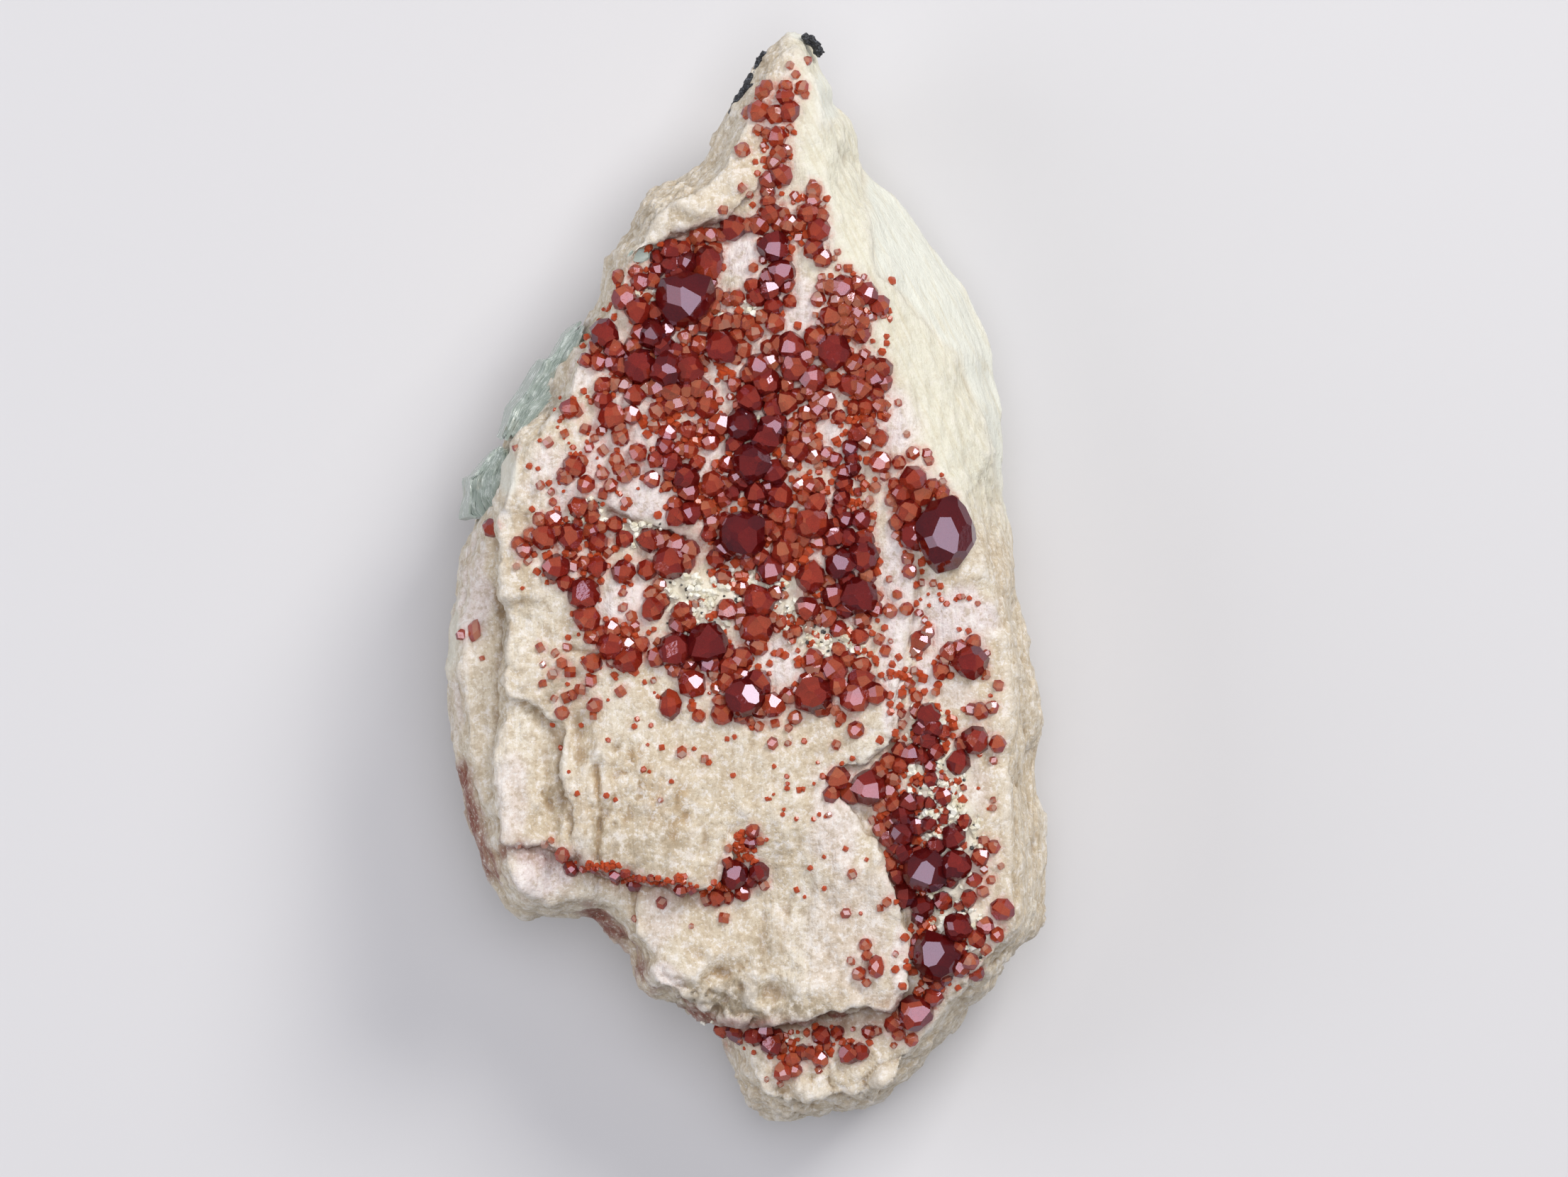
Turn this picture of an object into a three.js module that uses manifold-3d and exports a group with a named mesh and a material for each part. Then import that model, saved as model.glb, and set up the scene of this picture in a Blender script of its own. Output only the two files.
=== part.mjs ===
// Spessartine garnets on a stepped block of feldspar, with mica books on its left flank and
// black tourmaline at its pointed end.
//
// Millimetres. The specimen lies on its flat cleaved back: +X is the right of the garnet face,
// +Y its pointed end and +Z out of the face. The origin is on the resting plane, under the
// middle of the block. Places on the face were read by eye from a photograph with a 1 mm grid.

import * as THREE from "three";
import { ConvexGeometry } from "three/addons/geometries/ConvexGeometry.js";
import { mergeVertices } from "three/addons/utils/BufferGeometryUtils.js";
import Module from "manifold-3d";

const wasm = await Module();
wasm.setup();

// Driving dimensions
const FACE_HEIGHT = 34; // the garnet-bearing cleavage face above the resting plane
const FLANK_WIDTH = 3; // the broken flanks take this much of the face's border
const BACK_CHAMFER = 8; // the broken border of the flat back
const CONTACT_GAP = 0.3; // between a crystal and what it grew on
const OUTLINE_STEP = 2.7; // longest edge of the faceted outline
const FACE_STEP = 3.8; // spacing of the facets on the garnet face
const BACK_STEP = 8; // spacing of the facets on the back
const LEDGE_STEP = 2.8; // spacing of the facets along a ledge
const LEDGE_WIDTH = 0.7; // a ledge's riser, seen from the front
const LEAST_CRYSTAL = 2.2; // smaller crystals of the list aren't modelled here
const MOST_CLUSTERS = 50; // crystals and clusters kept, the largest ones

// The outline seen from the front, clockwise from the tip: x, y and the height at which the
// block is widest there.
const OUTLINE = [
  [6.5, 69.9, 22], [9.0, 69.0, 21], [9.9, 66.6, 20], [10.3, 64.8, 20], [11.9, 62.4, 19],
  [11.6, 60.7, 18], [13.6, 58.7, 17], [14.7, 56.6, 16], [15.4, 53.4, 16], [17.1, 51.2, 15],
  [19.6, 49.0, 15], [21.6, 46.0, 14], [23.6, 42.8, 14], [26.1, 40.0, 13], [28.8, 37.0, 13],
  [29.9, 34.4, 13], [31.5, 31.0, 14], [32.4, 28.4, 14], [32.3, 26.0, 14], [33.6, 21.5, 15],
  [33.2, 17.5, 15], [33.3, 12.0, 15], [33.7, 7.5, 15], [34.3, 3.6, 15], [35.2, 0.8, 15],
  [35.9, -4.0, 15], [36.5, -8.5, 15], [37.1, -12.4, 14], [37.8, -16.2, 14], [38.0, -20.2, 14],
  [37.3, -24.0, 13], [37.5, -28.0, 13], [38.2, -31.2, 13], [38.6, -36.0, 13],
  [38.8, -39.6, 12], [38.3, -43.6, 12], [37.2, -46.6, 12], [35.4, -47.6, 12],
  [34.0, -49.6, 12], [31.2, -53.3, 11], [28.6, -55.4, 11], [26.9, -58.4, 10],
  [24.0, -61.8, 10], [21.2, -65.2, 10], [18.0, -67.6, 10], [14.4, -69.1, 10],
  [10.2, -68.9, 10], [6.0, -69.9, 10], [3.0, -69.2, 10], [0.2, -67.4, 10],
  [-1.4, -64.2, 11], [-1.8, -61.4, 12], [-3.4, -61.2, 12], [-3.9, -58.2, 13],
  [-6.6, -56.4, 14], [-10.0, -55.4, 14], [-13.0, -54.0, 14], [-14.3, -51.6, 14],
  [-14.6, -48.6, 14], [-16.9, -46.2, 14], [-19.6, -43.7, 14], [-24.2, -44.1, 14],
  [-28.6, -43.7, 14], [-30.8, -41.6, 14], [-32.8, -38.0, 14], [-34.1, -34.2, 15],
  [-35.3, -30.6, 15], [-36.6, -26.8, 16], [-37.9, -22.0, 16], [-38.2, -17.0, 16],
  [-38.8, -11.8, 16], [-38.3, -6.4, 16], [-37.0, -2.4, 16], [-36.3, 3.0, 16],
  [-35.2, 7.6, 16], [-33.0, 10.4, 16], [-31.8, 15.0, 17], [-29.8, 18.6, 18],
  [-27.2, 20.6, 18], [-24.8, 23.0, 18], [-23.8, 27.0, 18], [-21.9, 30.4, 18],
  [-20.3, 33.0, 19], [-18.9, 36.2, 19], [-18.0, 40.0, 19], [-16.6, 43.0, 20],
  [-14.6, 45.4, 20], [-12.8, 48.2, 21], [-10.0, 50.0, 21], [-6.6, 51.4, 22],
  [-4.8, 53.4, 22], [-3.4, 56.6, 22], [-2.0, 59.3, 22], [-0.3, 61.7, 22],
  [1.6, 65.0, 22], [3.0, 67.6, 22], [4.8, 69.1, 22],
];

// The ridge where the garnet face turns down to the right flank, from the tip downwards.
const RIDGE = [
  [9.0, 63.0], [9.4, 55.5], [10.6, 48.0], [12.6, 42.6], [15.2, 36.0], [17.4, 28.4],
  [19.6, 22.0], [22.4, 16.4], [26.8, 11.0], [29.0, 5.0], [31.2, -4.0], [32.8, -12.0],
  [33.6, -25.0], [33.8, -40.0], [35.2, -45.8],
];
// Down the right flank: share of the way from the ridge to the outline, share of the drop.
const FLANK_FOLD = [0.42, 0.24];

// Ledges across the face. Walking along the points, the low side is on the left. Each point
// has x, y, how far the low side drops, and how far from the ledge the drop has healed.
const LEDGES = {
  left_terrace: [
    [-33.6, -36.5, 0, 40], [-31.4, -33.5, 3.5, 40], [-31.2, -25, 5.5, 40],
    [-30.6, -15, 6, 40], [-30.4, -4.2, 6, 40], [-31.3, -2.6, 6, 40], [-31.0, 4, 6, 40],
    [-32.4, 9.4, 3, 40],
  ],
  left_strip: [
    [-22.2, -36.0, 0.6, 10], [-22.2, -31, 1.8, 10], [-23.0, -26.4, 2.2, 10],
    [-23.4, -21.6, 2.2, 10], [-24.6, -18.2, 2.0, 10], [-26.8, -16.4, 1.8, 10],
    [-29.6, -15.6, 1.2, 10],
  ],
  rib_end: [[-26.6, -2.4, 0, 8], [-28.6, -3.2, 1.8, 8], [-30.8, -2.6, 2, 8]],
  chunk_foot: [[-25.5, 7.4, 0, 10], [-28.6, 8.2, 1.0, 10], [-32.2, 9.5, 1.4, 10]],
  lower_step: [
    [0.2, -30.2, 0, 30], [-1.6, -32.6, 1.4, 30], [-2.5, -36, 2.6, 30],
    [-3.4, -39.4, 3.4, 34], [-7.8, -39.6, 3.6, 40], [-12.2, -38.6, 3.6, 40],
    [-15.6, -37.8, 3.6, 40], [-19.8, -36.9, 3.4, 40], [-22.4, -35.6, 3.2, 40],
    [-25.8, -34.2, 2.6, 40], [-30.2, -34.0, 1.0, 40],
  ],
  slab_side: [[-14.6, -49.5, 1.4, 12], [-14.2, -45, 1.4, 12], [-14.2, -40.2, 1.0, 12]],
  right_vein_and_toe: [
    [23.0, 1.8, 0.5, 7], [22.2, -5.6, 1.4, 8], [20.8, -12, 1.8, 9], [19.0, -20, 2.0, 10],
    [15.6, -23.6, 2.0, 10], [11.4, -24.2, 1.2, 9], [10.2, -27.6, 1.4, 9],
    [14.6, -30.2, 2.2, 10], [16.6, -33.4, 2.4, 11], [18.4, -38.4, 2.6, 12],
    [20.2, -42.6, 2.8, 13], [20.8, -47.6, 3.2, 14], [20.2, -52.2, 3.8, 18],
    [18.6, -55.6, 4.6, 26], [14.0, -55.4, 5.4, 40], [10.8, -56.0, 5.6, 40],
    [7.6, -57.2, 5.6, 40], [3.6, -57.6, 5.6, 40], [-0.4, -56.8, 5.4, 40],
    [-4.2, -56.2, 5.0, 40], [-8.6, -54.6, 3.6, 40],
  ],
  diagonal_step: [
    [-5.4, 4.6, 0.6, 10], [-8.8, 5.4, 1.8, 12], [-13.2, 6.9, 2.0, 14],
    [-18.6, 9.2, 1.8, 14], [-22.8, 11.0, 0.3, 12],
  ],
  shoulder_foot: [
    [4.4, 52.6, 0.4, 10], [1.6, 49.0, 1.6, 11], [-1.2, 46.2, 2.4, 12],
    [-5.2, 44.6, 2.8, 13], [-9.4, 43.4, 3.0, 13], [-13.4, 41.2, 2.6, 12],
    [-17.4, 40.8, 1.2, 10],
  ],
};

// Grooves that the garnet veins fill: width, depth and the line they follow.
const GROOVES = [
  { width: 5.2, depth: 1.6, line: [[1.2, 25], [-0.8, 18], [-2.6, 11], [-3.6, 5.5], [-1, 0]] },
  { width: 3.2, depth: 1.2, line: [[15.4, 26], [14.2, 18], [12.8, 11], [12.2, 4], [13.6, -4]] },
];

// Low rises of bare cleavage face among the garnets: x, y, half width, half length, height.
const RISES = [
  [-0.2, 40.4, 2.8, 4.2, 1.0], [7.2, 33.5, 2.2, 6.5, 0.7], [-20, 12, 6, 8, 0.5],
  [4.8, -11.2, 3.2, 3.6, 0.8], [23.2, -12.5, 1.2, 3, 0.6], [-10.5, 50, 6, 5, 0.5],
  [-27.5, -39.2, 4.6, 3.6, 0.7],
];

// Garnet crystals: x, y and diameter, and for the longest ones their length over width.
const GARNETS = [
  // the point of the block
  [2.5, 61.4, 1.7], [2.9, 62.3, 1.5], [5.3, 62.2, 1.5], [5.2, 60.9, 1.9], [1.8, 59.0, 2.3],
  [0.6, 58.9, 1.5], [3.9, 58.7, 2.0], [5.6, 59.1, 2.3], [4.1, 55.8, 2.1], [2.9, 56.3, 1.3],
  [4.4, 53.7, 2.0], [5.3, 54.1, 1.4], [3.8, 52.6, 1.7], [4.5, 51.0, 2.6], [3.1, 50.5, 1.9],
  [2.9, 49.0, 1.6], [2.9, 47.6, 1.7], [-0.2, 54.2, 1.6], [7.2, 62.2, 1.5],
  // the band under the shoulder
  [8.8, 49.0, 1.7], [8.6, 47.6, 1.7], [8.2, 46.0, 2.3], [9.8, 45.8, 1.6], [9.5, 43.8, 2.6],
  [8.8, 41.6, 2.1], [9.9, 40.4, 2.0], [5.7, 44.7, 2.1], [7.0, 44.6, 1.7], [3.2, 46.0, 2.4],
  [4.3, 44.8, 1.7], [1.9, 44.6, 2.2], [0.3, 44.6, 1.7], [-1.5, 44.3, 2.7], [-2.9, 43.4, 1.6],
  [-4.4, 43.4, 1.8], [-5.9, 43.4, 2.0], [3.9, 41.7, 3.5], [2.4, 42.0, 1.8], [5.3, 40.2, 1.4],
  [4.8, 38.4, 3.0], [3.0, 37.8, 2.0], [3.1, 36.4, 2.5], [1.5, 35.5, 2.1], [5.4, 37.0, 1.7],
  [5.8, 34.9, 1.5], [3.7, 34.3, 2.1], [3.9, 32.1, 2.1], [2.2, 33.0, 1.6], [0.9, 37.0, 1.6],
  // the upper left pocket
  [-8.0, 41.6, 2.0], [-9.5, 41.4, 2.4], [-10.9, 40.6, 1.8], [-9.4, 39.6, 2.3],
  [-11.1, 39.1, 1.8], [-7.6, 39.8, 2.6], [-5.6, 41.5, 1.7], [-6.0, 40.0, 1.8],
  [-3.8, 41.4, 1.9], [-4.5, 39.7, 3.1, 1.25], [-8.4, 38.4, 1.8], [-9.4, 37.6, 1.6],
  [-7.3, 34.9, 6.1], [-15.8, 38.0, 1.6], [-13.2, 37.3, 2.1], [-11.8, 37.4, 1.8],
  [-15.3, 35.3, 2.7], [-13.6, 33.7, 2.8], [-11.1, 33.5, 2.2], [-13.9, 38.7, 1.5],
  [-13.3, 31.0, 2.0], [-11.4, 30.6, 3.2], [-9.8, 31.3, 2.0], [-10.3, 29.2, 2.4],
  [-17.8, 30.8, 3.0], [-18.8, 29.2, 1.7], [-16.6, 28.8, 2.2], [-14.1, 29.2, 1.8],
  [-20.1, 27.4, 1.5], [-18.5, 27.1, 1.9], [-17.0, 27.2, 1.8], [-13.4, 26.6, 3.6],
  [-9.8, 26.0, 3.9], [-7.2, 26.3, 3.5], [-15.7, 26.6, 2.2], [-8.9, 28.6, 1.9],
  [-7.5, 28.4, 1.5], [-7.6, 30.4, 1.5], [-5.8, 29.3, 2.1], [-6.6, 31.6, 1.8],
  [-3.0, 29.1, 3.5], [-5.2, 32.2, 2.4], [-4.0, 34.2, 1.6], [-3.4, 35.6, 1.6],
  [-2.1, 35.2, 1.6], [-0.9, 35.3, 1.7], [-3.4, 31.9, 1.9], [-2.2, 32.3, 1.9],
  [-1.0, 32.3, 1.8], [0.3, 32.2, 1.9], [1.2, 31.0, 1.9], [-1.0, 30.6, 1.6], [-0.2, 28.8, 1.9],
  [-1.2, 27.6, 1.4],
  [-18.0, 24.2, 1.9], [-16.6, 24.4, 1.7], [-18.2, 22.5, 2.0], [-15.2, 24.2, 1.8],
  [-13.8, 23.0, 2.3], [-12.3, 23.8, 1.7], [-16.9, 20.3, 2.8], [-14.3, 20.5, 2.1],
  [-16.0, 18.8, 1.6], [-15.9, 17.7, 1.9], [-11.1, 20.9, 1.9], [-9.7, 21.5, 2.0],
  [-11.2, 23.8, 2.2], [-9.3, 23.6, 2.5], [-7.5, 23.6, 2.1], [-8.3, 22.0, 2.0],
  [-5.9, 24.0, 2.5], [-6.7, 21.9, 1.9], [-4.9, 21.6, 2.5], [-4.6, 23.2, 1.9],
  [-3.4, 19.2, 2.5], [-4.4, 17.0, 2.0], [-22.1, 21.2, 2.1],
  // the right-hand knot near the ridge
  [10.0, 36.8, 1.5], [10.9, 36.7, 1.7], [12.5, 36.6, 2.5], [14.2, 37.2, 1.6], [15.3, 35.8, 2.5],
  [16.8, 34.3, 2.3], [9.4, 35.2, 1.6], [11.8, 35.0, 1.9], [14.2, 34.8, 1.9], [13.1, 35.3, 1.8],
  [14.1, 33.4, 2.0], [12.6, 33.8, 1.8], [10.8, 33.0, 2.3], [12.8, 32.3, 1.9],
  [14.7, 32.2, 2.1], [11.8, 31.3, 1.7], [13.2, 31.2, 1.8], [14.7, 30.8, 1.9],
  [8.8, 30.4, 2.3], [9.0, 28.8, 2.1], [11.3, 28.5, 3.7],
  // the centre
  [5.8, 29.2, 3.1], [4.4, 29.2, 2.3], [3.1, 29.0, 1.8], [7.7, 27.9, 2.1], [5.3, 27.6, 1.9],
  [6.3, 26.6, 3.1], [1.7, 26.7, 2.7], [3.1, 27.2, 2.2], [0.5, 25.6, 2.0], [2.8, 24.6, 3.2],
  [8.6, 25.1, 2.7], [11.2, 25.0, 1.9], [13.2, 24.3, 2.3], [13.9, 27.0, 2.2],
  [16.0, 26.9, 2.0], [17.4, 26.4, 2.3], [16.6, 25.2, 2.5], [17.6, 24.6, 1.9],
  [15.0, 23.9, 2.3], [14.3, 25.7, 1.9], [16.8, 23.3, 1.7], [17.2, 21.7, 1.7],
  [13.9, 21.3, 1.7], [15.3, 21.4, 1.8], [0.8, 22.7, 3.0], [3.8, 21.3, 2.5], [3.2, 22.9, 1.8],
  [5.3, 22.0, 2.5], [6.7, 22.9, 1.8], [5.4, 24.4, 1.7], [8.0, 23.6, 2.0], [9.2, 22.8, 1.9],
  [10.5, 22.2, 2.1], [9.2, 21.2, 2.2], [7.7, 20.6, 1.8], [8.9, 20.4, 1.7], [-0.6, 20.8, 1.7],
  [-0.1, 19.1, 3.5], [2.6, 17.5, 3.5], [3.6, 18.9, 3.1], [-1.1, 16.6, 2.1], [1.0, 14.1, 4.2],
  [3.8, 13.2, 2.7], [-2.3, 14.2, 1.8], [-4.0, 11.7, 2.6], [-2.5, 11.8, 1.7],
  [-1.2, 12.6, 1.7], [-0.4, 11.9, 1.9], [-2.8, 9.9, 2.0], [-1.5, 10.6, 1.7], [1.5, 10.4, 2.4],
  [4.4, 10.1, 2.8], [2.9, 11.3, 1.5], [6.1, 19.2, 1.6], [6.2, 17.7, 1.7], [8.1, 18.8, 1.7],
  [7.9, 17.4, 1.8], [8.9, 16.6, 1.8], [6.8, 15.9, 2.5], [8.8, 15.2, 1.8], [5.6, 14.6, 1.9],
  [10.3, 15.5, 1.7], [11.4, 14.8, 1.7], [13.5, 13.7, 1.9], [12.4, 13.3, 1.8],
  [12.5, 11.6, 2.0], [12.1, 9.9, 1.9], [11.9, 8.3, 1.8], [12.7, 7.1, 1.9], [14.3, 18.1, 2.2],
  [15.8, 19.4, 1.6], [16.2, 18.2, 1.7], [15.4, 17.0, 1.8], [17.2, 17.5, 1.8],
  [13.4, 16.2, 1.8], [13.6, 15.0, 1.6], [17.3, 14.5, 2.4], [7.0, 11.5, 1.6],
  [8.3, 11.3, 1.8], [9.2, 11.6, 1.6], [7.6, 10.1, 1.7], [9.0, 9.2, 2.5], [8.4, 6.8, 3.5],
  [5.9, 7.0, 2.0], [4.2, 7.8, 2.1], [2.7, 8.4, 1.6], [1.4, 8.7, 1.6], [-0.2, 5.3, 5.0],
  [2.9, 6.2, 2.0], [-2.4, 6.9, 2.0], [-4.2, 6.8, 1.9], [-4.7, 5.3, 1.8], [-2.5, 3.6, 2.7],
  [4.0, 5.5, 1.9], [5.8, 5.2, 2.0], [7.6, 4.7, 1.7], [9.3, 4.3, 1.7], [4.9, 3.2, 2.7],
  [6.5, 3.4, 2.0], [-3.6, 2.2, 2.0], [0.5, 1.8, 1.9], [2.0, 2.5, 1.9], [3.3, 0.8, 3.2],
  [6.0, 0.9, 1.9], [8.5, -0.1, 3.2], [-2.8, -0.2, 1.8],
  [11.2, 5.1, 2.3], [13.1, 4.8, 2.1], [15.1, 4.6, 2.3], [14.8, 7.2, 2.3], [15.3, 2.6, 3.3],
  [12.3, 1.6, 3.3], [10.8, 3.2, 1.6], [15.6, -0.1, 1.8], [13.0, -0.4, 1.9],
  [14.7, -2.5, 4.1], [11.3, -2.4, 2.7], [10.6, -0.9, 1.7], [12.8, -4.3, 2.0],
  [16.6, -4.2, 1.7], [10.4, -5.4, 2.1], [14.9, -5.6, 1.8],
  // the left-hand scatter above the diagonal step
  [-11.5, 19.1, 1.4], [-9.9, 18.1, 1.9], [-10.1, 16.5, 2.1], [-11.2, 14.8, 1.9],
  [-9.3, 14.5, 2.3], [-8.5, 16.2, 1.6], [-7.1, 16.0, 1.9], [-7.2, 18.6, 1.9],
  [-5.7, 18.6, 1.5], [-7.5, 12.4, 2.9], [-9.6, 13.0, 1.6], [-7.2, 11.0, 2.4],
  [-8.7, 7.6, 2.2], [-7.0, 8.0, 2.4], [-4.9, 8.6, 2.1], [-8.9, 9.2, 1.6], [-6.0, 14.4, 1.7],
  [-21.7, 13.8, 2.3], [-20.7, 14.6, 1.4], [-22.8, 12.5, 1.7], [-16.3, 14.7, 1.6],
  [-16.0, 13.6, 1.5], [-15.2, 12.8, 1.7], [-14.2, 13.4, 1.5], [-20.2, 11.7, 1.9],
  [-17.0, 11.5, 1.5], [-11.8, 12.3, 1.8],
  // under the diagonal step
  [-21.3, 8.8, 2.2], [-19.5, 8.9, 1.5], [-19.5, 7.5, 1.7], [-26.0, 7.1, 1.5],
  [-24.4, 7.2, 1.9], [-25.5, 4.9, 2.6], [-27.2, 5.2, 1.6], [-22.4, 5.0, 2.7],
  [-24.0, 5.6, 1.6], [-18.5, 6.3, 1.7], [-19.6, 5.7, 1.9], [-16.6, 6.6, 1.8],
  [-18.8, 4.2, 2.2], [-15.3, 4.6, 2.0], [-28.8, 4.0, 1.6], [-28.0, 3.2, 1.7],
  [-24.1, 1.1, 2.8], [-22.9, -0.8, 1.8], [-20.5, -2.3, 3.4], [-20.5, 1.5, 1.6],
  [-18.9, 1.1, 2.2], [-20.1, -5.4, 2.8], [-20.6, -3.9, 1.4], [-19.5, -7.7, 1.7],
  [-18.3, -7.2, 1.5], [-16.9, -6.8, 1.9], [-17.0, -8.9, 2.8], [-15.0, -8.8, 1.8],
  [-14.8, -10.5, 2.9], [-13.3, -8.7, 1.8], [-15.1, -7.1, 1.4], [-12.4, 4.7, 2.7],
  [-10.6, 4.6, 2.3], [-8.7, 4.0, 2.2], [-6.8, 3.3, 2.1], [-9.3, 1.6, 3.6], [-7.5, 1.6, 2.2],
  [-12.5, 0.8, 2.2], [-15.5, 0.6, 2.4], [-11.6, -4.3, 2.5], [-10.5, -3.2, 1.8],
  [-11.9, -2.3, 1.6], [-10.8, -1.3, 1.5], [-7.9, -4.6, 2.3], [-8.5, -6.2, 2.0],
  [-7.2, -6.1, 1.8], [-32.1, 6.2, 1.9],
  // the lower edge of the main field
  [-9.0, -9.4, 3.8], [-4.9, -8.4, 4.5], [-11.2, -10.3, 2.1], [-7.0, -11.1, 1.9],
  [-4.6, -11.0, 2.3], [-6.5, -13.8, 2.9], [-7.6, -12.6, 1.7], [-9.6, -16.4, 2.2, 1.4],
  [-2.2, -9.6, 1.8], [-0.5, -10.4, 2.3], [-2.2, -11.5, 2.2], [-0.5, -12.9, 2.0],
  [-2.3, -13.5, 2.1], [0.0, -15.5, 4.3], [1.8, -13.7, 2.9], [3.5, -16.4, 2.6],
  [2.0, -17.0, 1.9], [-2.9, -17.5, 2.2], [-0.4, -17.8, 1.8], [1.7, -3.2, 3.5],
  [1.6, -6.3, 3.6], [3.5, -5.5, 1.7], [4.7, -5.8, 1.6], [3.8, -2.2, 1.7], [-2.3, -4.3, 2.3],
  [-0.6, -4.4, 1.9], [-0.4, -5.7, 1.7], [-0.4, -1.6, 1.7], [1.8, -9.0, 2.0],
  [7.8, -4.1, 2.6], [5.5, -15.2, 1.8], [6.6, -14.7, 1.4], [8.6, -15.2, 4.1],
  [7.9, -13.4, 2.0], [8.9, -10.6, 2.2], [8.8, -11.9, 1.9], [9.8, -16.6, 2.3],
  [9.6, -13.0, 1.8], [11.5, -11.8, 2.8], [11.9, -14.1, 2.3], [13.2, -10.6, 1.8],
  [12.0, -9.4, 1.6], [12.0, -6.7, 1.8], [14.6, -7.7, 1.9], [14.9, -11.5, 2.0],
  [14.9, -13.3, 2.7], [14.0, -15.5, 3.1], [16.7, -15.0, 2.3], [14.2, -19.6, 1.8],
  // the knot with the largest crystal
  [21.5, 12.2, 2.9], [19.9, 10.6, 2.3], [19.1, 11.6, 1.5], [22.5, 10.4, 2.5],
  [23.9, 11.4, 1.6], [25.0, 10.5, 1.7], [20.8, 8.2, 2.7], [19.4, 6.8, 1.8],
  [21.4, 5.1, 3.1], [25.2, 5.4, 5.9, 1.3], [18.7, 9.6, 1.4],
  // the right-hand vein
  [22.4, -8.2, 2.3], [21.8, -9.6, 1.6], [23.3, -7.1, 1.5], [25.1, -12.1, 1.9],
  [25.5, -10.9, 1.3], [26.2, -9.7, 2.1], [27.4, -9.2, 1.9], [29.1, -8.4, 1.6],
  [28.8, -10.9, 3.6], [22.1, -17.2, 1.8], [23.3, -17.8, 2.7], [22.7, -19.2, 2.1],
  [24.0, -19.5, 2.1], [25.3, -20.0, 1.6], [23.7, -21.0, 2.1], [22.1, -20.8, 1.4],
  [24.4, -22.3, 1.9], [21.2, -22.7, 2.2], [19.8, -22.2, 1.8], [22.7, -23.0, 1.9],
  [19.8, -24.1, 1.7], [18.3, -23.6, 1.8], [23.7, -24.2, 1.6], [17.2, -24.8, 2.0],
  [29.3, -20.9, 2.8], [27.7, -21.3, 1.8], [27.0, -23.7, 2.6], [32.1, -21.3, 1.8],
  [15.8, -27.0, 3.9], [13.3, -27.6, 2.3], [11.8, -25.7, 2.6], [11.0, -27.8, 1.8],
  [18.4, -27.6, 2.0], [18.9, -25.8, 1.7], [19.0, -29.2, 1.9], [17.3, -29.0, 1.8],
  [21.0, -28.7, 2.2], [22.4, -28.8, 1.6], [23.7, -28.9, 1.5], [25.3, -28.1, 1.9],
  [23.8, -26.0, 1.7], [20.0, -30.6, 2.5], [18.7, -31.4, 1.8], [17.4, -32.2, 1.9],
  [20.0, -32.6, 2.9], [22.0, -31.9, 2.1], [18.4, -33.4, 1.9], [19.2, -34.7, 1.9],
  [20.4, -35.3, 2.3], [23.5, -31.6, 1.8], [24.4, -34.3, 2.1], [26.6, -33.1, 2.6],
  [27.9, -31.1, 1.6], [26.8, -36.8, 3.4], [22.9, -37.6, 4.9], [22.1, -35.4, 2.0],
  [18.5, -36.7, 1.6], [19.3, -38.2, 1.9], [20.2, -40.6, 2.8], [29.9, -35.7, 1.9],
  [26.2, -38.8, 1.7], [29.2, -38.7, 1.6], [28.5, -41.0, 1.8], [25.4, -41.3, 2.1],
  [22.8, -41.9, 2.5], [22.3, -43.3, 1.8], [27.4, -44.5, 3.2], [32.8, -42.4, 2.4],
  [30.6, -44.4, 1.9], [32.0, -45.5, 1.6], [29.5, -46.0, 2.0], [21.7, -46.6, 1.9],
  [21.3, -48.1, 1.6], [24.7, -48.2, 5.2], [27.5, -47.4, 1.8], [27.5, -49.6, 2.1],
  [28.7, -49.0, 1.8], [29.4, -50.4, 1.8], [23.7, -50.9, 2.0], [25.5, -51.1, 1.8],
  [24.6, -52.0, 1.6], [24.0, -53.6, 2.1], [21.9, -55.5, 3.8], [19.9, -55.8, 1.9],
  [19.0, -57.0, 2.0], [19.6, -58.4, 1.5],
  // the toe
  [-1.0, -58.0, 2.0], [-2.7, -57.8, 1.8], [1.2, -58.7, 2.0], [3.4, -59.7, 2.4],
  [2.6, -57.9, 1.8], [4.3, -58.6, 1.5], [4.6, -60.1, 1.5], [6.1, -61.7, 1.7],
  [5.1, -63.1, 2.1], [6.4, -63.0, 1.6], [7.3, -60.7, 1.6], [8.2, -60.7, 1.5],
  [9.6, -61.7, 1.7], [9.6, -58.5, 2.0], [13.3, -60.9, 2.2], [14.7, -60.6, 1.9],
  [11.8, -58.2, 1.5], [15.8, -58.1, 1.5],
  // the corner of the lower step
  [-1.3, -38.0, 3.1], [0.6, -38.6, 1.9], [1.9, -37.6, 2.2], [-3.6, -41.0, 1.9],
  [-2.2, -40.9, 1.5], [-0.3, -40.4, 1.7], [0.8, -33.8, 1.5], [1.1, -32.3, 1.5],
  [-13.9, -39.2, 1.7], [-23.1, -35.4, 1.6], [-22.0, -37.2, 1.7], [-8.1, -39.8, 1.5],
  // loose crystals on the open face
  [16.8, -49.7, 1.8, 1.3], [14.5, -50.6, 1.5], [15.4, -47.0, 1.4],
];

const MICA_FINISH = { color: 0x9fb5a4, roughness: 0.25, metalness: 0 };
const TOURMALINE_FINISH = { color: 0x17191d, roughness: 0.35, metalness: 0 };
const FELDSPAR_FINISH = { color: 0xdccfb8, roughness: 0.75, metalness: 0 };
const GARNET_FINISH = { color: 0xa42a12, roughness: 0.12, metalness: 0 };

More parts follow.
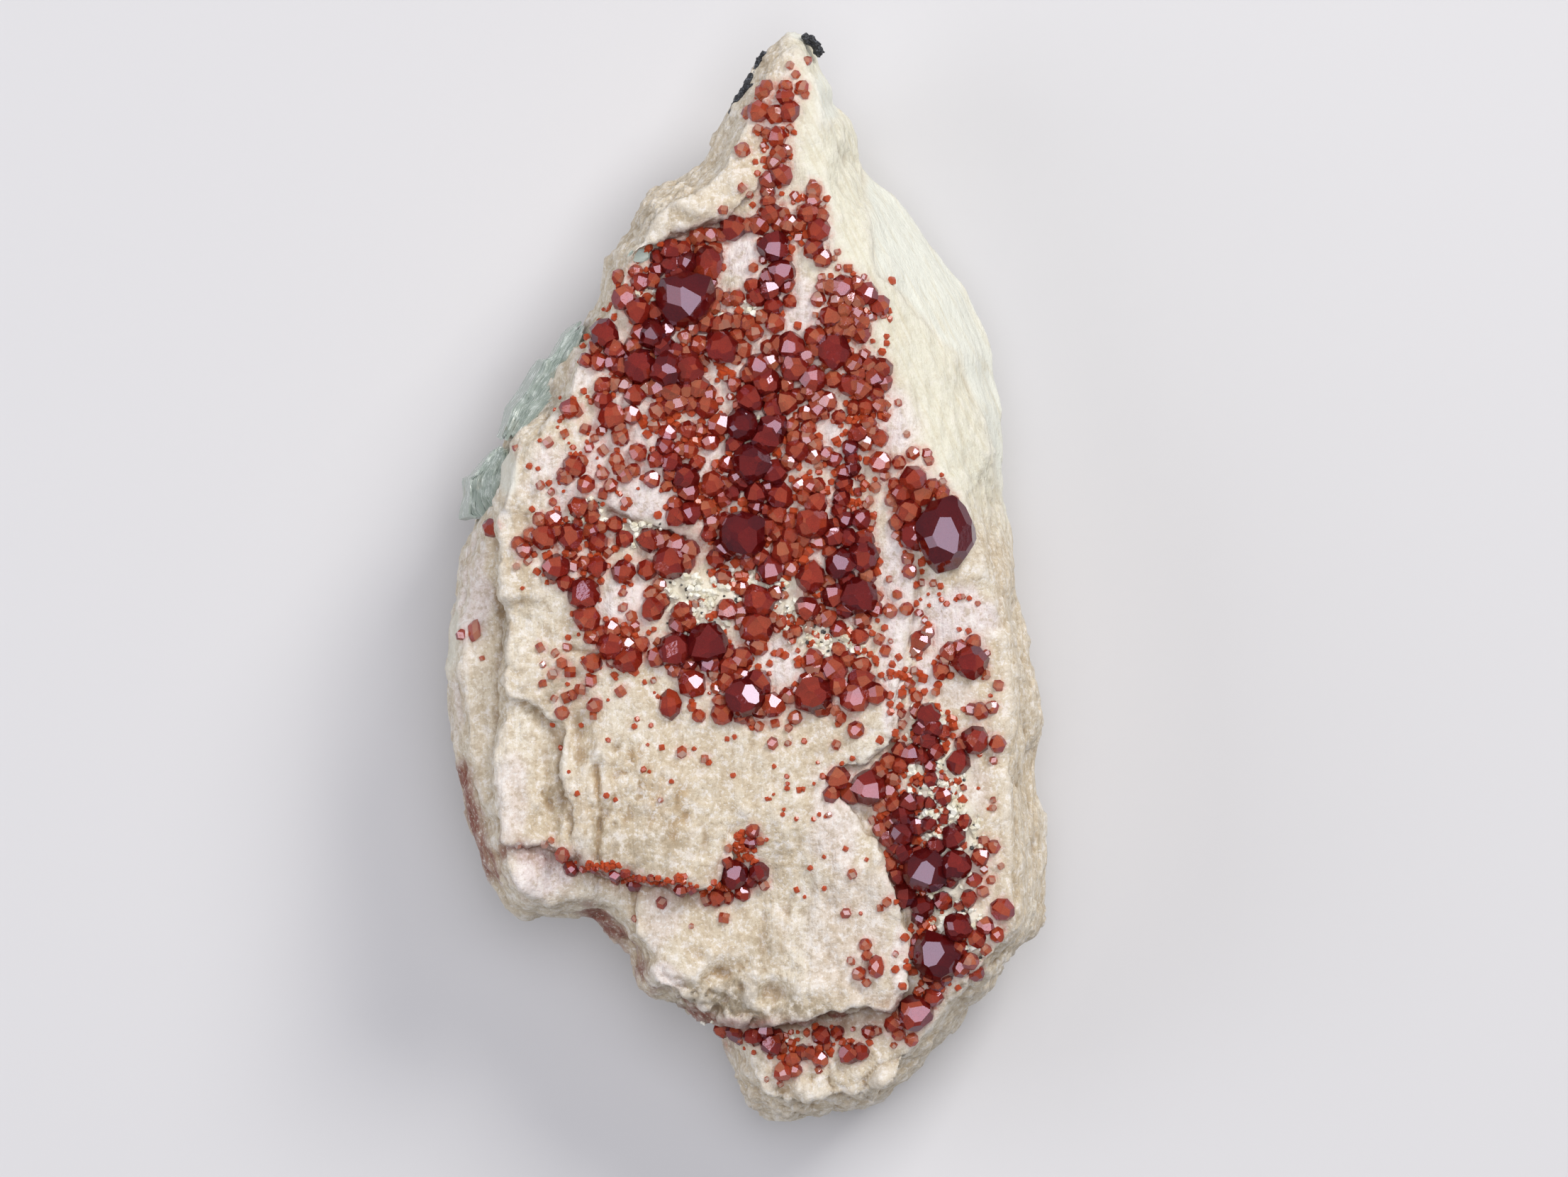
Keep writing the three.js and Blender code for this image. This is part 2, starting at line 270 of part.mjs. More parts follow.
// Repeatable numbers from 0 to 1.
function numberStream(seed) {
  let state = seed >>> 0;
  return () => {
    state = (state + 0x6d2b79f5) >>> 0;
    let t = Math.imul(state ^ (state >>> 15), 1 | state);
    t = (t + Math.imul(t ^ (t >>> 7), 61 | t)) ^ t;
    return ((t ^ (t >>> 14)) >>> 0) / 4294967296;
  };
}

const clamp01 = (t) => Math.min(1, Math.max(0, t));
const mix = (a, b, t) => a + (b - a) * t;
const smooth = (t) => clamp01(t) * clamp01(t) * (3 - 2 * clamp01(t));

// Smooth noise from -1 to 1 over a lattice of the given spacing.
function noise(x, y, spacing, seed) {
  const corner = (i, j) => {
    const s = Math.sin(i * 127.1 + j * 311.7 + seed * 74.7) * 43758.5453;
    return 2 * (s - Math.floor(s)) - 1;
  };
  const i = Math.floor(x / spacing);
  const j = Math.floor(y / spacing);
  const u = smooth(x / spacing - i);
  const v = smooth(y / spacing - j);
  return mix(
    mix(corner(i, j), corner(i + 1, j), u),
    mix(corner(i, j + 1), corner(i + 1, j + 1), u),
    v,
  );
}

// The nearest place on a line of points: its distance, the side it is seen from (positive on
// the left of the walk) and the values carried by the points after x and y.
function nearest(line, x, y, closed = false) {
  let best = null;
  const segments = closed ? line.length : line.length - 1;
  for (let i = 0; i < segments; i += 1) {
    const a = line[i];
    const b = line[(i + 1) % line.length];
    const dx = b[0] - a[0];
    const dy = b[1] - a[1];
    const t = clamp01(((x - a[0]) * dx + (y - a[1]) * dy) / (dx * dx + dy * dy));
    const distance = Math.hypot(x - a[0] - dx * t, y - a[1] - dy * t);
    if (!best || distance < best.distance - 1e-9) {
      const left = dx * (y - a[1]) - dy * (x - a[0]);
      const carried = a.slice(2).map((value, k) => mix(value, b[2 + k], t));
      best = { distance, side: Math.sign(left) || 1, carried };
    }
  }
  return best;
}

function isInside(polygon, x, y) {
  let inside = false;
  for (let i = 0, j = polygon.length - 1; i < polygon.length; j = i, i += 1) {
    const [xi, yi] = polygon[i];
    const [xj, yj] = polygon[j];
    if (yi > y !== yj > y && x < ((xj - xi) * (y - yi)) / (yj - yi) + xi) inside = !inside;
  }
  return inside;
}

// The line with points added so that no stretch is longer than step. The added points are
// pushed off the line by up to jag.
function divided(line, step, jag = 0, closed = false) {
  const made = [];
  const segments = closed ? line.length : line.length - 1;
  for (let i = 0; i < segments; i += 1) {
    const a = line[i];
    const b = line[(i + 1) % line.length];
    const length = Math.hypot(b[0] - a[0], b[1] - a[1]);
    const parts = Math.max(1, Math.round(length / step));
    for (let k = 0; k < parts; k += 1) {
      const point = a.map((value, axis) => mix(value, b[axis], k / parts));
      if (k > 0) {
        const push = -jag * Math.abs(noise(point[0], point[1], 1.7, 5));
        point[0] += (push * -(b[1] - a[1])) / length;
        point[1] += (push * (b[0] - a[0])) / length;
      }
      made.push(point);
    }
  }
  if (!closed) made.push(line[line.length - 1].slice());
  return made;
}

// The garnet face before its border is broken: cleavage face, ledges, grooves and rises.
function faceHeight(x, y) {
  const towardsTip = Math.max(0, y - 38);
  const towardsToe = Math.max(0, -46 - y);
  let z = FACE_HEIGHT - 0.0055 * towardsTip ** 2 - 0.006 * towardsToe ** 2;
  for (const ledge of Object.values(LEDGES)) {
    const { distance, side, carried } = nearest(ledge, x, y);
    const [drop, reach] = carried;
    if (side > 0) z -= drop * (1 - smooth(distance / reach));
  }
  for (const { width, depth, line } of GROOVES) {
    const { distance } = nearest(line, x, y);
    z -= depth * (1 - smooth(distance / (width / 2)));
  }
  for (const [cx, cy, halfWidth, halfLength, height] of RISES) {
    const off = Math.hypot((x - cx) / halfWidth, (y - cy) / halfLength);
    z += height * (1 - smooth(off));
  }
  return z + 0.45 * noise(x, y, 9, 1) + 0.28 * noise(x, y * 0.6, 3.8, 2);
}

// The front of the block, from its outline over its flanks to the face.
function frontHeight(x, y) {
  const edge = nearest(OUTLINE, x, y, true);
  const rim = edge.carried[0];
  let z = faceHeight(x, y);
  const ridge = nearest(RIDGE, x, y);
  const beyond = ridge.side > 0 && x > 8 ? ridge.distance : 0;
  if (beyond > 0) {
    const share = beyond / (beyond + edge.distance);
    const [foldAt, foldDrop] = FLANK_FOLD;
    const drop =
      share < foldAt
        ? (foldDrop * share) / foldAt
        : mix(foldDrop, 1, (share - foldAt) / (1 - foldAt));
    z = mix(z, rim, drop) + 0.35 * noise(x, y, 6, 3);
  }
  const flank = edge.distance / FLANK_WIDTH;
  const climb = flank < 0.35 ? (0.6 * flank) / 0.35 : mix(0.6, 1, (flank - 0.35) / 0.65);
  return mix(rim, Math.max(z, rim), clamp01(climb));
}

// The back: a flat cleavage face with a broken border, chipped here and there.
function backHeight(x, y) {
  const edge = nearest(OUTLINE, x, y, true);
  const share = edge.distance / BACK_CHAMFER;
  const climb = share < 0.45 ? (0.7 * share) / 0.45 : mix(0.7, 1, (share - 0.45) / 0.55);
  const chip = Math.max(0, noise(x, y, 13, 8) - 0.35) * 2.2;
  const tip = 0.012 * Math.max(0, y - 40) ** 2;
  const middle = Math.hypot(x, (y + 12) * 0.6) < 14;
  return edge.carried[0] * (1 - clamp01(climb)) + (middle ? 0 : chip + tip);
}

// Delaunay triangles over points in the plane, each as three indices, anticlockwise.
function triangulated(points) {
  const far = 1e4;
  const all = [...points, [-far, -far], [far, -far], [0, far]];
  const n = points.length;
  const withCircle = (a, b, c) => {
    const [ax, ay] = all[a];
    const bx = all[b][0] - ax;
    const by = all[b][1] - ay;
    const cx = all[c][0] - ax;
    const cy = all[c][1] - ay;
    const d = 2 * (bx * cy - by * cx);
    const ux = (cy * (bx * bx + by * by) - by * (cx * cx + cy * cy)) / d;
    const uy = (bx * (cx * cx + cy * cy) - cx * (bx * bx + by * by)) / d;
    return { corners: [a, b, c], x: ax + ux, y: ay + uy, r2: ux * ux + uy * uy };
  };
  let triangles = [withCircle(n, n + 1, n + 2)];
  for (let p = 0; p < n; p += 1) {
    const [x, y] = all[p];
    const rim = new Map();
    const kept = [];
    for (const triangle of triangles) {
      if ((triangle.x - x) ** 2 + (triangle.y - y) ** 2 >= triangle.r2) {
        kept.push(triangle);
        continue;
      }
      const [a, b, c] = triangle.corners;
      for (const [from, to] of [[a, b], [b, c], [c, a]]) {
        if (!rim.delete(`${to},${from}`)) rim.set(`${from},${to}`, [from, to]);
      }
    }
    triangles = kept;
    for (const [from, to] of rim.values()) triangles.push(withCircle(from, to, p));
  }
  return triangles.map((t) => t.corners).filter((t) => t.every((corner) => corner < n));
}

// Points inside the outline for one side of the block, clear of each other.
function sidePoints(border, lines, step, random) {
  const made = [];
  const far = (x, y, gap) => made.every((p) => Math.hypot(p[0] - x, p[1] - y) > gap);
  const fits = (x, y) =>
    isInside(border, x, y) && nearest(border, x, y, true).distance > 0.95;
  for (const line of lines) {
    for (const [x, y] of line) if (fits(x, y) && far(x, y, 0.45)) made.push([x, y]);
  }
  const rows = Math.ceil(150 / (step * 0.87));
  for (let row = 0; row < rows; row += 1) {
    for (let x = -42 + (row % 2) * step * 0.5; x < 42; x += step) {
      const px = x + (random() - 0.5) * step * 0.55;
      const py = -72 + row * step * 0.87 + (random() - 0.5) * step * 0.55;
      if (fits(px, py) && far(px, py, step * 0.5)) made.push([px, py]);
    }
  }
  return made;
}

// A line moved sideways by offset, to the left of the walk when it is positive.
function besideLine(line, offset, closed = false) {
  return line.map((point, i) => {
    const before = line[closed ? (i + line.length - 1) % line.length : Math.max(0, i - 1)];
    const after = line[closed ? (i + 1) % line.length : Math.min(line.length - 1, i + 1)];
    const dx = after[0] - before[0];
    const dy = after[1] - before[1];
    const length = Math.hypot(dx, dy);
    return [point[0] - (dy / length) * offset, point[1] + (dx / length) * offset];
  });
}

// One side of the block as triangles over the border's points and its own.
function sideOf(border, own) {
  const points = [...border.map(([x, y]) => [x, y]), ...own];
  const triangles = triangulated(points).filter((corners) => {
    const x = corners.reduce((sum, corner) => sum + points[corner][0], 0) / 3;
    const y = corners.reduce((sum, corner) => sum + points[corner][1], 0) / 3;
    return isInside(border, x, y);
  });
  return { points, triangles };
}

// The stretches of the border that the triangles don't follow.
function missedStretches(border, triangles) {
  const edges = new Set();
  for (const [a, b, c] of triangles) for (const e of [[a, b], [b, c], [c, a]]) edges.add(`${e}`);
  const n = border.length;
  const missed = (i) => !edges.has(`${[i, (i + 1) % n]}`) && !edges.has(`${[(i + 1) % n, i]}`);
  return border.map((_, i) => i).filter(missed);
}

// The solid of a mesh's geometry.
function solidOf(geometry) {
  const bare = geometry.clone();
  bare.deleteAttribute("normal");
  bare.deleteAttribute("uv");
  const merged = mergeVertices(bare, 1e-4);
  return new wasm.Manifold(
    new wasm.Mesh({
      numProp: 3,
      vertProperties: merged.attributes.position.array,
      triVerts: new Uint32Array(merged.index.array),
    }),
  );
}

function meshOf(solid, name, finish) {
  const { vertProperties, triVerts } = solid.getMesh();
  const geometry = new THREE.BufferGeometry();
  geometry.setAttribute("position", new THREE.BufferAttribute(vertProperties, 3));
  geometry.setIndex(new THREE.BufferAttribute(triVerts, 1));
  geometry.computeVertexNormals();
  const mesh = new THREE.Mesh(geometry, new THREE.MeshStandardMaterial(finish));
  mesh.name = name;
  return mesh;
}

// The feldspar block: the front and the back share the outline's points.
function matrixSolid() {
  const random = numberStream(11);
  let border = divided(OUTLINE, OUTLINE_STEP, 0.5, true);
  const ledgeLines = Object.values(LEDGES).flatMap((ledge) => {
    const line = divided(ledge, LEDGE_STEP);
    return [besideLine(line, LEDGE_WIDTH / 2), besideLine(line, -LEDGE_WIDTH / 2)];
  });
  const rings = [0.35 * FLANK_WIDTH, FLANK_WIDTH].map((inset) =>
    besideLine(divided(OUTLINE, OUTLINE_STEP, 0.5, true), -inset, true),
  );
  const ridge = divided(RIDGE, FACE_STEP);
  const frontOwn = sidePoints(border, [...ledgeLines, ridge, ...rings], FACE_STEP, random);
  const chamfer = [0.45 * BACK_CHAMFER, BACK_CHAMFER].map((inset) =>
    besideLine(divided(OUTLINE, BACK_STEP, 0, true), -inset, true),
  );
  const backOwn = sidePoints(border, chamfer, BACK_STEP, random);
  let front = sideOf(border, frontOwn);
  let back = sideOf(border, backOwn);
  for (let round = 0; round < 6; round += 1) {
    const missed = new Set([
      ...missedStretches(border, front.triangles),
      ...missedStretches(border, back.triangles),
    ]);
    if (!missed.size) break;
    border = border.flatMap((point, i) => {
      const next = border[(i + 1) % border.length];
      return missed.has(i) ? [point, point.map((v, k) => (v + next[k]) / 2)] : [point];
    });
    front = sideOf(border, frontOwn);
    back = sideOf(border, backOwn);
  }
  const n = border.length;
  const positions = border.map(([x, y, z]) => [x, y, z]);
  for (const [x, y] of frontOwn) positions.push([x, y, frontHeight(x, y)]);
  for (const [x, y] of backOwn) positions.push([x, y, backHeight(x, y)]);
  const shift = frontOwn.length;
  const backCorner = (corner) => (corner < n ? corner : corner + shift);
  const index = [
    ...front.triangles.flat(),
    ...back.triangles.flatMap(([a, b, c]) => [a, c, b].map(backCorner)),
  ];
  const geometry = new THREE.BufferGeometry();
  geometry.setAttribute("position", new THREE.Float32BufferAttribute(positions.flat(), 3));
  geometry.setIndex(index);
  return solidOf(geometry);
}

// Face normals of the two garnet forms: the rhombic dodecahedron and the trapezohedron.
function formNormals([a, b, c]) {
  const found = new Map();
  for (const [x, y, z] of [[a, b, c], [b, c, a], [c, a, b], [a, c, b], [b, a, c], [c, b, a]]) {
    for (const sx of [-1, 1]) {
      for (const sy of [-1, 1]) {
        for (const sz of [-1, 1]) {
          const v = new THREE.Vector3(sx * x, sy * y, sz * z);
          found.set(v.toArray().map((w) => w + 0).join(), v.normalize());
        }
      }
    }
  }
  return [...found.values()];
}
const DODECAHEDRON = formNormals([1, 1, 0]);
const TRAPEZOHEDRON = formNormals([2, 1, 1]);

// The corners of the body that the planes (unit normal, distance) enclose.
function enclosedCorners(planes) {
  const corners = [];
  const cross = new THREE.Vector3();
  const point = new THREE.Vector3();
  for (let i = 0; i < planes.length; i += 1) {
    for (let j = i + 1; j < planes.length; j += 1) {
      for (let k = j + 1; k < planes.length; k += 1) {
        const [p, q, r] = [planes[i], planes[j], planes[k]];
        const volume = p.normal.dot(cross.crossVectors(q.normal, r.normal));
        if (Math.abs(volume) < 1e-3) continue;
        point.crossVectors(q.normal, r.normal).multiplyScalar(p.distance);
        point.addScaledVector(cross.crossVectors(r.normal, p.normal), q.distance);
        point.addScaledVector(cross.crossVectors(p.normal, q.normal), r.distance);
        point.divideScalar(volume);
        if (planes.every((s) => s.normal.dot(point) < s.distance + 1e-6)) {
          corners.push(point.clone());
        }
      }
    }
  }
  return corners;
}

// The points without those that crowd one already kept.
function thinned(points, gap) {
  const kept = [];
  for (const point of points) {
    if (kept.every((other) => other.distanceTo(point) > gap)) kept.push(point);
  }
  return kept;
}

// One garnet crystal, its centre at the origin. The larger ones show both forms.
function garnetGeometry(diameter, random) {
  const radius = diameter / 2;
  const uneven = () => 1 + (random() - 0.5) * 0.12;
  const face = (share) => (normal) => ({ normal, distance: radius * share * uneven() });
  const forms = {
    small: [...DODECAHEDRON.map(face(0.9))],
    middling: [...TRAPEZOHEDRON.map(face(0.96))],
    large: [...DODECAHEDRON.map(face(0.96)), ...TRAPEZOHEDRON.map(face(1.0))],
  };
  const planes = diameter > 4.4 ? forms.large : diameter > 3 ? forms.middling : forms.small;
  return new ConvexGeometry(thinned(enclosedCorners(planes), diameter * 0.13));
}

// The crystal cut flat where it meets the block, or to the block's own shape on a ledge.
function seated(crystal, raised, x, y, radius) {
  const sunk = crystal.intersect(raised);
  if (sunk.isEmpty()) return crystal;
  const slope = (dx, dy) =>
    (frontHeight(x + dx, y + dy) - frontHeight(x - dx, y - dy)) / (2 * radius);
  const up = new THREE.Vector3(-slope(radius, 0), -slope(0, radius), 1).normalize();
  const corners = sunk.getMesh().vertProperties;
  let top = -Infinity;
  for (let i = 0; i < corners.length; i += 3) {
    top = Math.max(top, up.x * corners[i] + up.y * corners[i + 1] + up.z * corners[i + 2]);
  }
  const flat = crystal.trimByPlane(up.toArray(), top);
  const fitted = crystal.subtract(raised);
  return flat.volume() > 0.7 * fitted.volume() ? flat : fitted;
}

// All garnet crystals, those that overlap grown together, standing clear of the block.
function garnetBodies(matrix) {
  const random = numberStream(29);
  const turn = new THREE.Quaternion();
  const raised = matrix.translate([0, 0, CONTACT_GAP]);
  const chosen = GARNETS.filter(([, , diameter]) => diameter >= LEAST_CRYSTAL);
  const solids = chosen.map(([x, y, diameter, length = 1]) => {
    turn.set(random() - 0.5, random() - 0.5, random() - 0.5, random() - 0.5).normalize();
    const geometry = garnetGeometry(diameter, random);
    geometry.applyQuaternion(turn);
    geometry.scale(1, length, 1);
    geometry.translate(x, y, frontHeight(x, y) + 0.18 * diameter);
    return seated(solidOf(geometry), raised, x, y, diameter / 2);
  });
  return wasm.Manifold.union(solids).decompose();
}

// Where a garnet body is, in words: the first area that holds its middle.
const AREAS = [
  ["spire", (x, y) => y > 46.5],
  ["toe", (x, y) => y < -56.5 && x < 18],
  ["step", (x, y) => y < -30 && x < 4],
  ["slab", (x, y) => y < -30 && x < 18],
  ["vein", (x, y) => y < -4 && x > 17.5],
  ["vein", (x, y) => y < -22 && x > 8],
  ["knot", (x, y) => x > 17.5],
  ["ridge", (x, y) => x > 8 && y > 10],
  ["terrace", (x) => x < -30],
  ["left", (x, y) => x < -6 && y > 10],
  ["mid_left", (x, y) => x < -6 && y > -8],
  ["lower_left", (x) => x < -6],
  ["centre", () => true],
];

function garnetMeshes(matrix) {
  const bodies = garnetBodies(matrix)
    .sort((a, b) => b.volume() - a.volume())
    .slice(0, MOST_CLUSTERS);
  const counts = {};
  return bodies.map((body) => {
    const { min, max } = body.boundingBox();
    const middle = [(min[0] + max[0]) / 2, (min[1] + max[1]) / 2];
    const [area] = AREAS.find(([, holds]) => holds(...middle));
    counts[area] = (counts[area] || 0) + 1;
    return meshOf(body, `garnets_${area}_${counts[area]}`, GARNET_FINISH);
  });
}

// A book of mica: sheets of unlike outline stacked along the flank, each in the next.
function micaBook(name, { centre, length, depth, thickness, sheets, heading, seed }, matrix) {
  const random = numberStream(seed);
  const parts = [];
  for (let i = 0; i < sheets; i += 1) {
    const corners = 7;
    const shape = new THREE.Shape(
      Array.from({ length: corners }, (_, k) => {
        const angle = (k / corners) * 2 * Math.PI;
        const reach = 0.82 + 0.18 * random() - 0.05 * i;
        return new THREE.Vector2(
          Math.cos(angle) * (length / 2) * reach,
          Math.sin(angle) * (depth / 2) * reach,
        );
      }),
    );
    const sheet = new THREE.ExtrudeGeometry(shape, {
      depth: thickness / sheets + 0.05,
      bevelEnabled: false,
    });
    sheet.translate(0, 0, (i * thickness) / sheets);
    sheet.rotateX(Math.PI / 2);
    sheet.rotateZ(heading);
    sheet.translate(...centre);
    parts.push(solidOf(sheet));
  }
  const outward = [Math.sin(heading) * CONTACT_GAP, -Math.cos(heading) * CONTACT_GAP, 0];
  const book = wasm.Manifold.union(parts)
    .subtract(matrix)
    .subtract(matrix.translate(outward));
  const largest = book.decompose().sort((a, b) => b.volume() - a.volume())[0];
  return meshOf(largest, name, MICA_FINISH);
}

// A fluted tourmaline prism lying along the block's edge from one point to another.
function tourmaline(name, { from, to, radius, flutes, seed }, matrix) {
  const random = numberStream(seed);
  const start = new THREE.Vector3(...from);
  const along = new THREE.Vector3(...to).sub(start);
  const section = new THREE.Shape(
    Array.from({ length: flutes * 2 }, (_, k) => {
      const angle = (k / (flutes * 2)) * 2 * Math.PI;
      const reach = radius * (k % 2 ? 0.86 : 1) * (0.93 + 0.14 * random());
      return new THREE.Vector2(Math.cos(angle) * reach, Math.sin(angle) * reach);
    }),
  );
  const prism = new THREE.ExtrudeGeometry(section, {
    depth: along.length(),
    bevelEnabled: false,
  });
  prism.applyQuaternion(
    new THREE.Quaternion().setFromUnitVectors(new THREE.Vector3(0, 0, 1), along.normalize()),
  );
  prism.translate(...from);
  const out = new THREE.Vector3(along.y, -along.x, 0).setLength(CONTACT_GAP);
  const side = from[0] < 6 ? -1 : 1;
  const solid = solidOf(prism)
    .subtract(matrix)
    .subtract(matrix.translate([out.x * side, out.y * side, CONTACT_GAP]));
  const largest = solid.decompose().sort((a, b) => b.volume() - a.volume())[0];
  return meshOf(largest, name, TOURMALINE_FINISH);
}

const MICA_BOOKS = {
  mica_book_upper: {
    centre: [-24.6, 27.8, 21], length: 17, depth: 13, thickness: 3.4, sheets: 3,
    heading: (236 * Math.PI) / 180, seed: 3,
  },
  mica_book_lower: {
    centre: [-31.6, 14.2, 20], length: 12, depth: 11, thickness: 3.2, sheets: 3,
    heading: (246 * Math.PI) / 180, seed: 4,
  },
};
const TOURMALINES = {
  tourmaline_left: {
    from: [-1.6, 58.9, 24.4], to: [2.1, 66.4, 25.0], radius: 1.5, flutes: 8, seed: 6,
  },
  tourmaline_tip: {
    from: [7.4, 69.2, 24.2], to: [9.7, 66.9, 23.2], radius: 1.0, flutes: 6, seed: 7,
  },
};

const matrix = matrixSolid();
const specimen = new THREE.Group();
specimen.add(meshOf(matrix, "feldspar_matrix", FELDSPAR_FINISH));
for (const mesh of garnetMeshes(matrix)) specimen.add(mesh);
for (const [name, book] of Object.entries(MICA_BOOKS)) {
  specimen.add(micaBook(name, book, matrix));
}
for (const [name, prism] of Object.entries(TOURMALINES)) {
  specimen.add(tourmaline(name, prism, matrix));
}

export default specimen;
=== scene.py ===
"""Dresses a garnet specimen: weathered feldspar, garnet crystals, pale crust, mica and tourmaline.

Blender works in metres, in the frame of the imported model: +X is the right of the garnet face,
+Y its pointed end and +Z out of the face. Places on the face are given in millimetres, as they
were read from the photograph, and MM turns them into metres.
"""

import math
import random

import bpy
import numpy as np
from mathutils import Matrix, Quaternion, Vector
from mathutils.bvhtree import BVHTree


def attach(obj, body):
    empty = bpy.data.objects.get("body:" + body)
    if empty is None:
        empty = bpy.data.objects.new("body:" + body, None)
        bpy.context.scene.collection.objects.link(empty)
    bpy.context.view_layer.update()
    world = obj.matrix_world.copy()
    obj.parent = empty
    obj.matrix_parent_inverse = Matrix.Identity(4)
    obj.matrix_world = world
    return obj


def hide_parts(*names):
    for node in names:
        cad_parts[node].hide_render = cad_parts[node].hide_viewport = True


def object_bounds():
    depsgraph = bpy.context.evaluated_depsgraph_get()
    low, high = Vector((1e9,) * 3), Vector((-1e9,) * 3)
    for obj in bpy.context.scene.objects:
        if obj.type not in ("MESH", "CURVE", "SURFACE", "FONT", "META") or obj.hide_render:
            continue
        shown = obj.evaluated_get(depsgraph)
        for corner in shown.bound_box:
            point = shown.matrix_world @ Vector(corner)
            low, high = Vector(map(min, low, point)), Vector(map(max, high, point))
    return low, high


bl_info = {
    "name": "Garnet Specimen",
    "version": (1, 0, 0),
    "blender": (4, 5, 0),
    "location": "View3D > Sidebar > Specimen",
    "description": "Dresses a garnet specimen: rock, crystals, crust, mica and tourmaline",
    "category": "Object",
}

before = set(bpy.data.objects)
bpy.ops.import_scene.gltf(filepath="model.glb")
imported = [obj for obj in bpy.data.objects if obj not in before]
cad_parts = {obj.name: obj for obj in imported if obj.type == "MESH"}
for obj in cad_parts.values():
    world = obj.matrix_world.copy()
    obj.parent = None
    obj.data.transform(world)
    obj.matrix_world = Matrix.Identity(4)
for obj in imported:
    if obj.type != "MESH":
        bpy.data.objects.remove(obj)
CAD_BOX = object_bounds()
MM = 0.001
CRUST_SEED = 31
MICA_SEED = 19

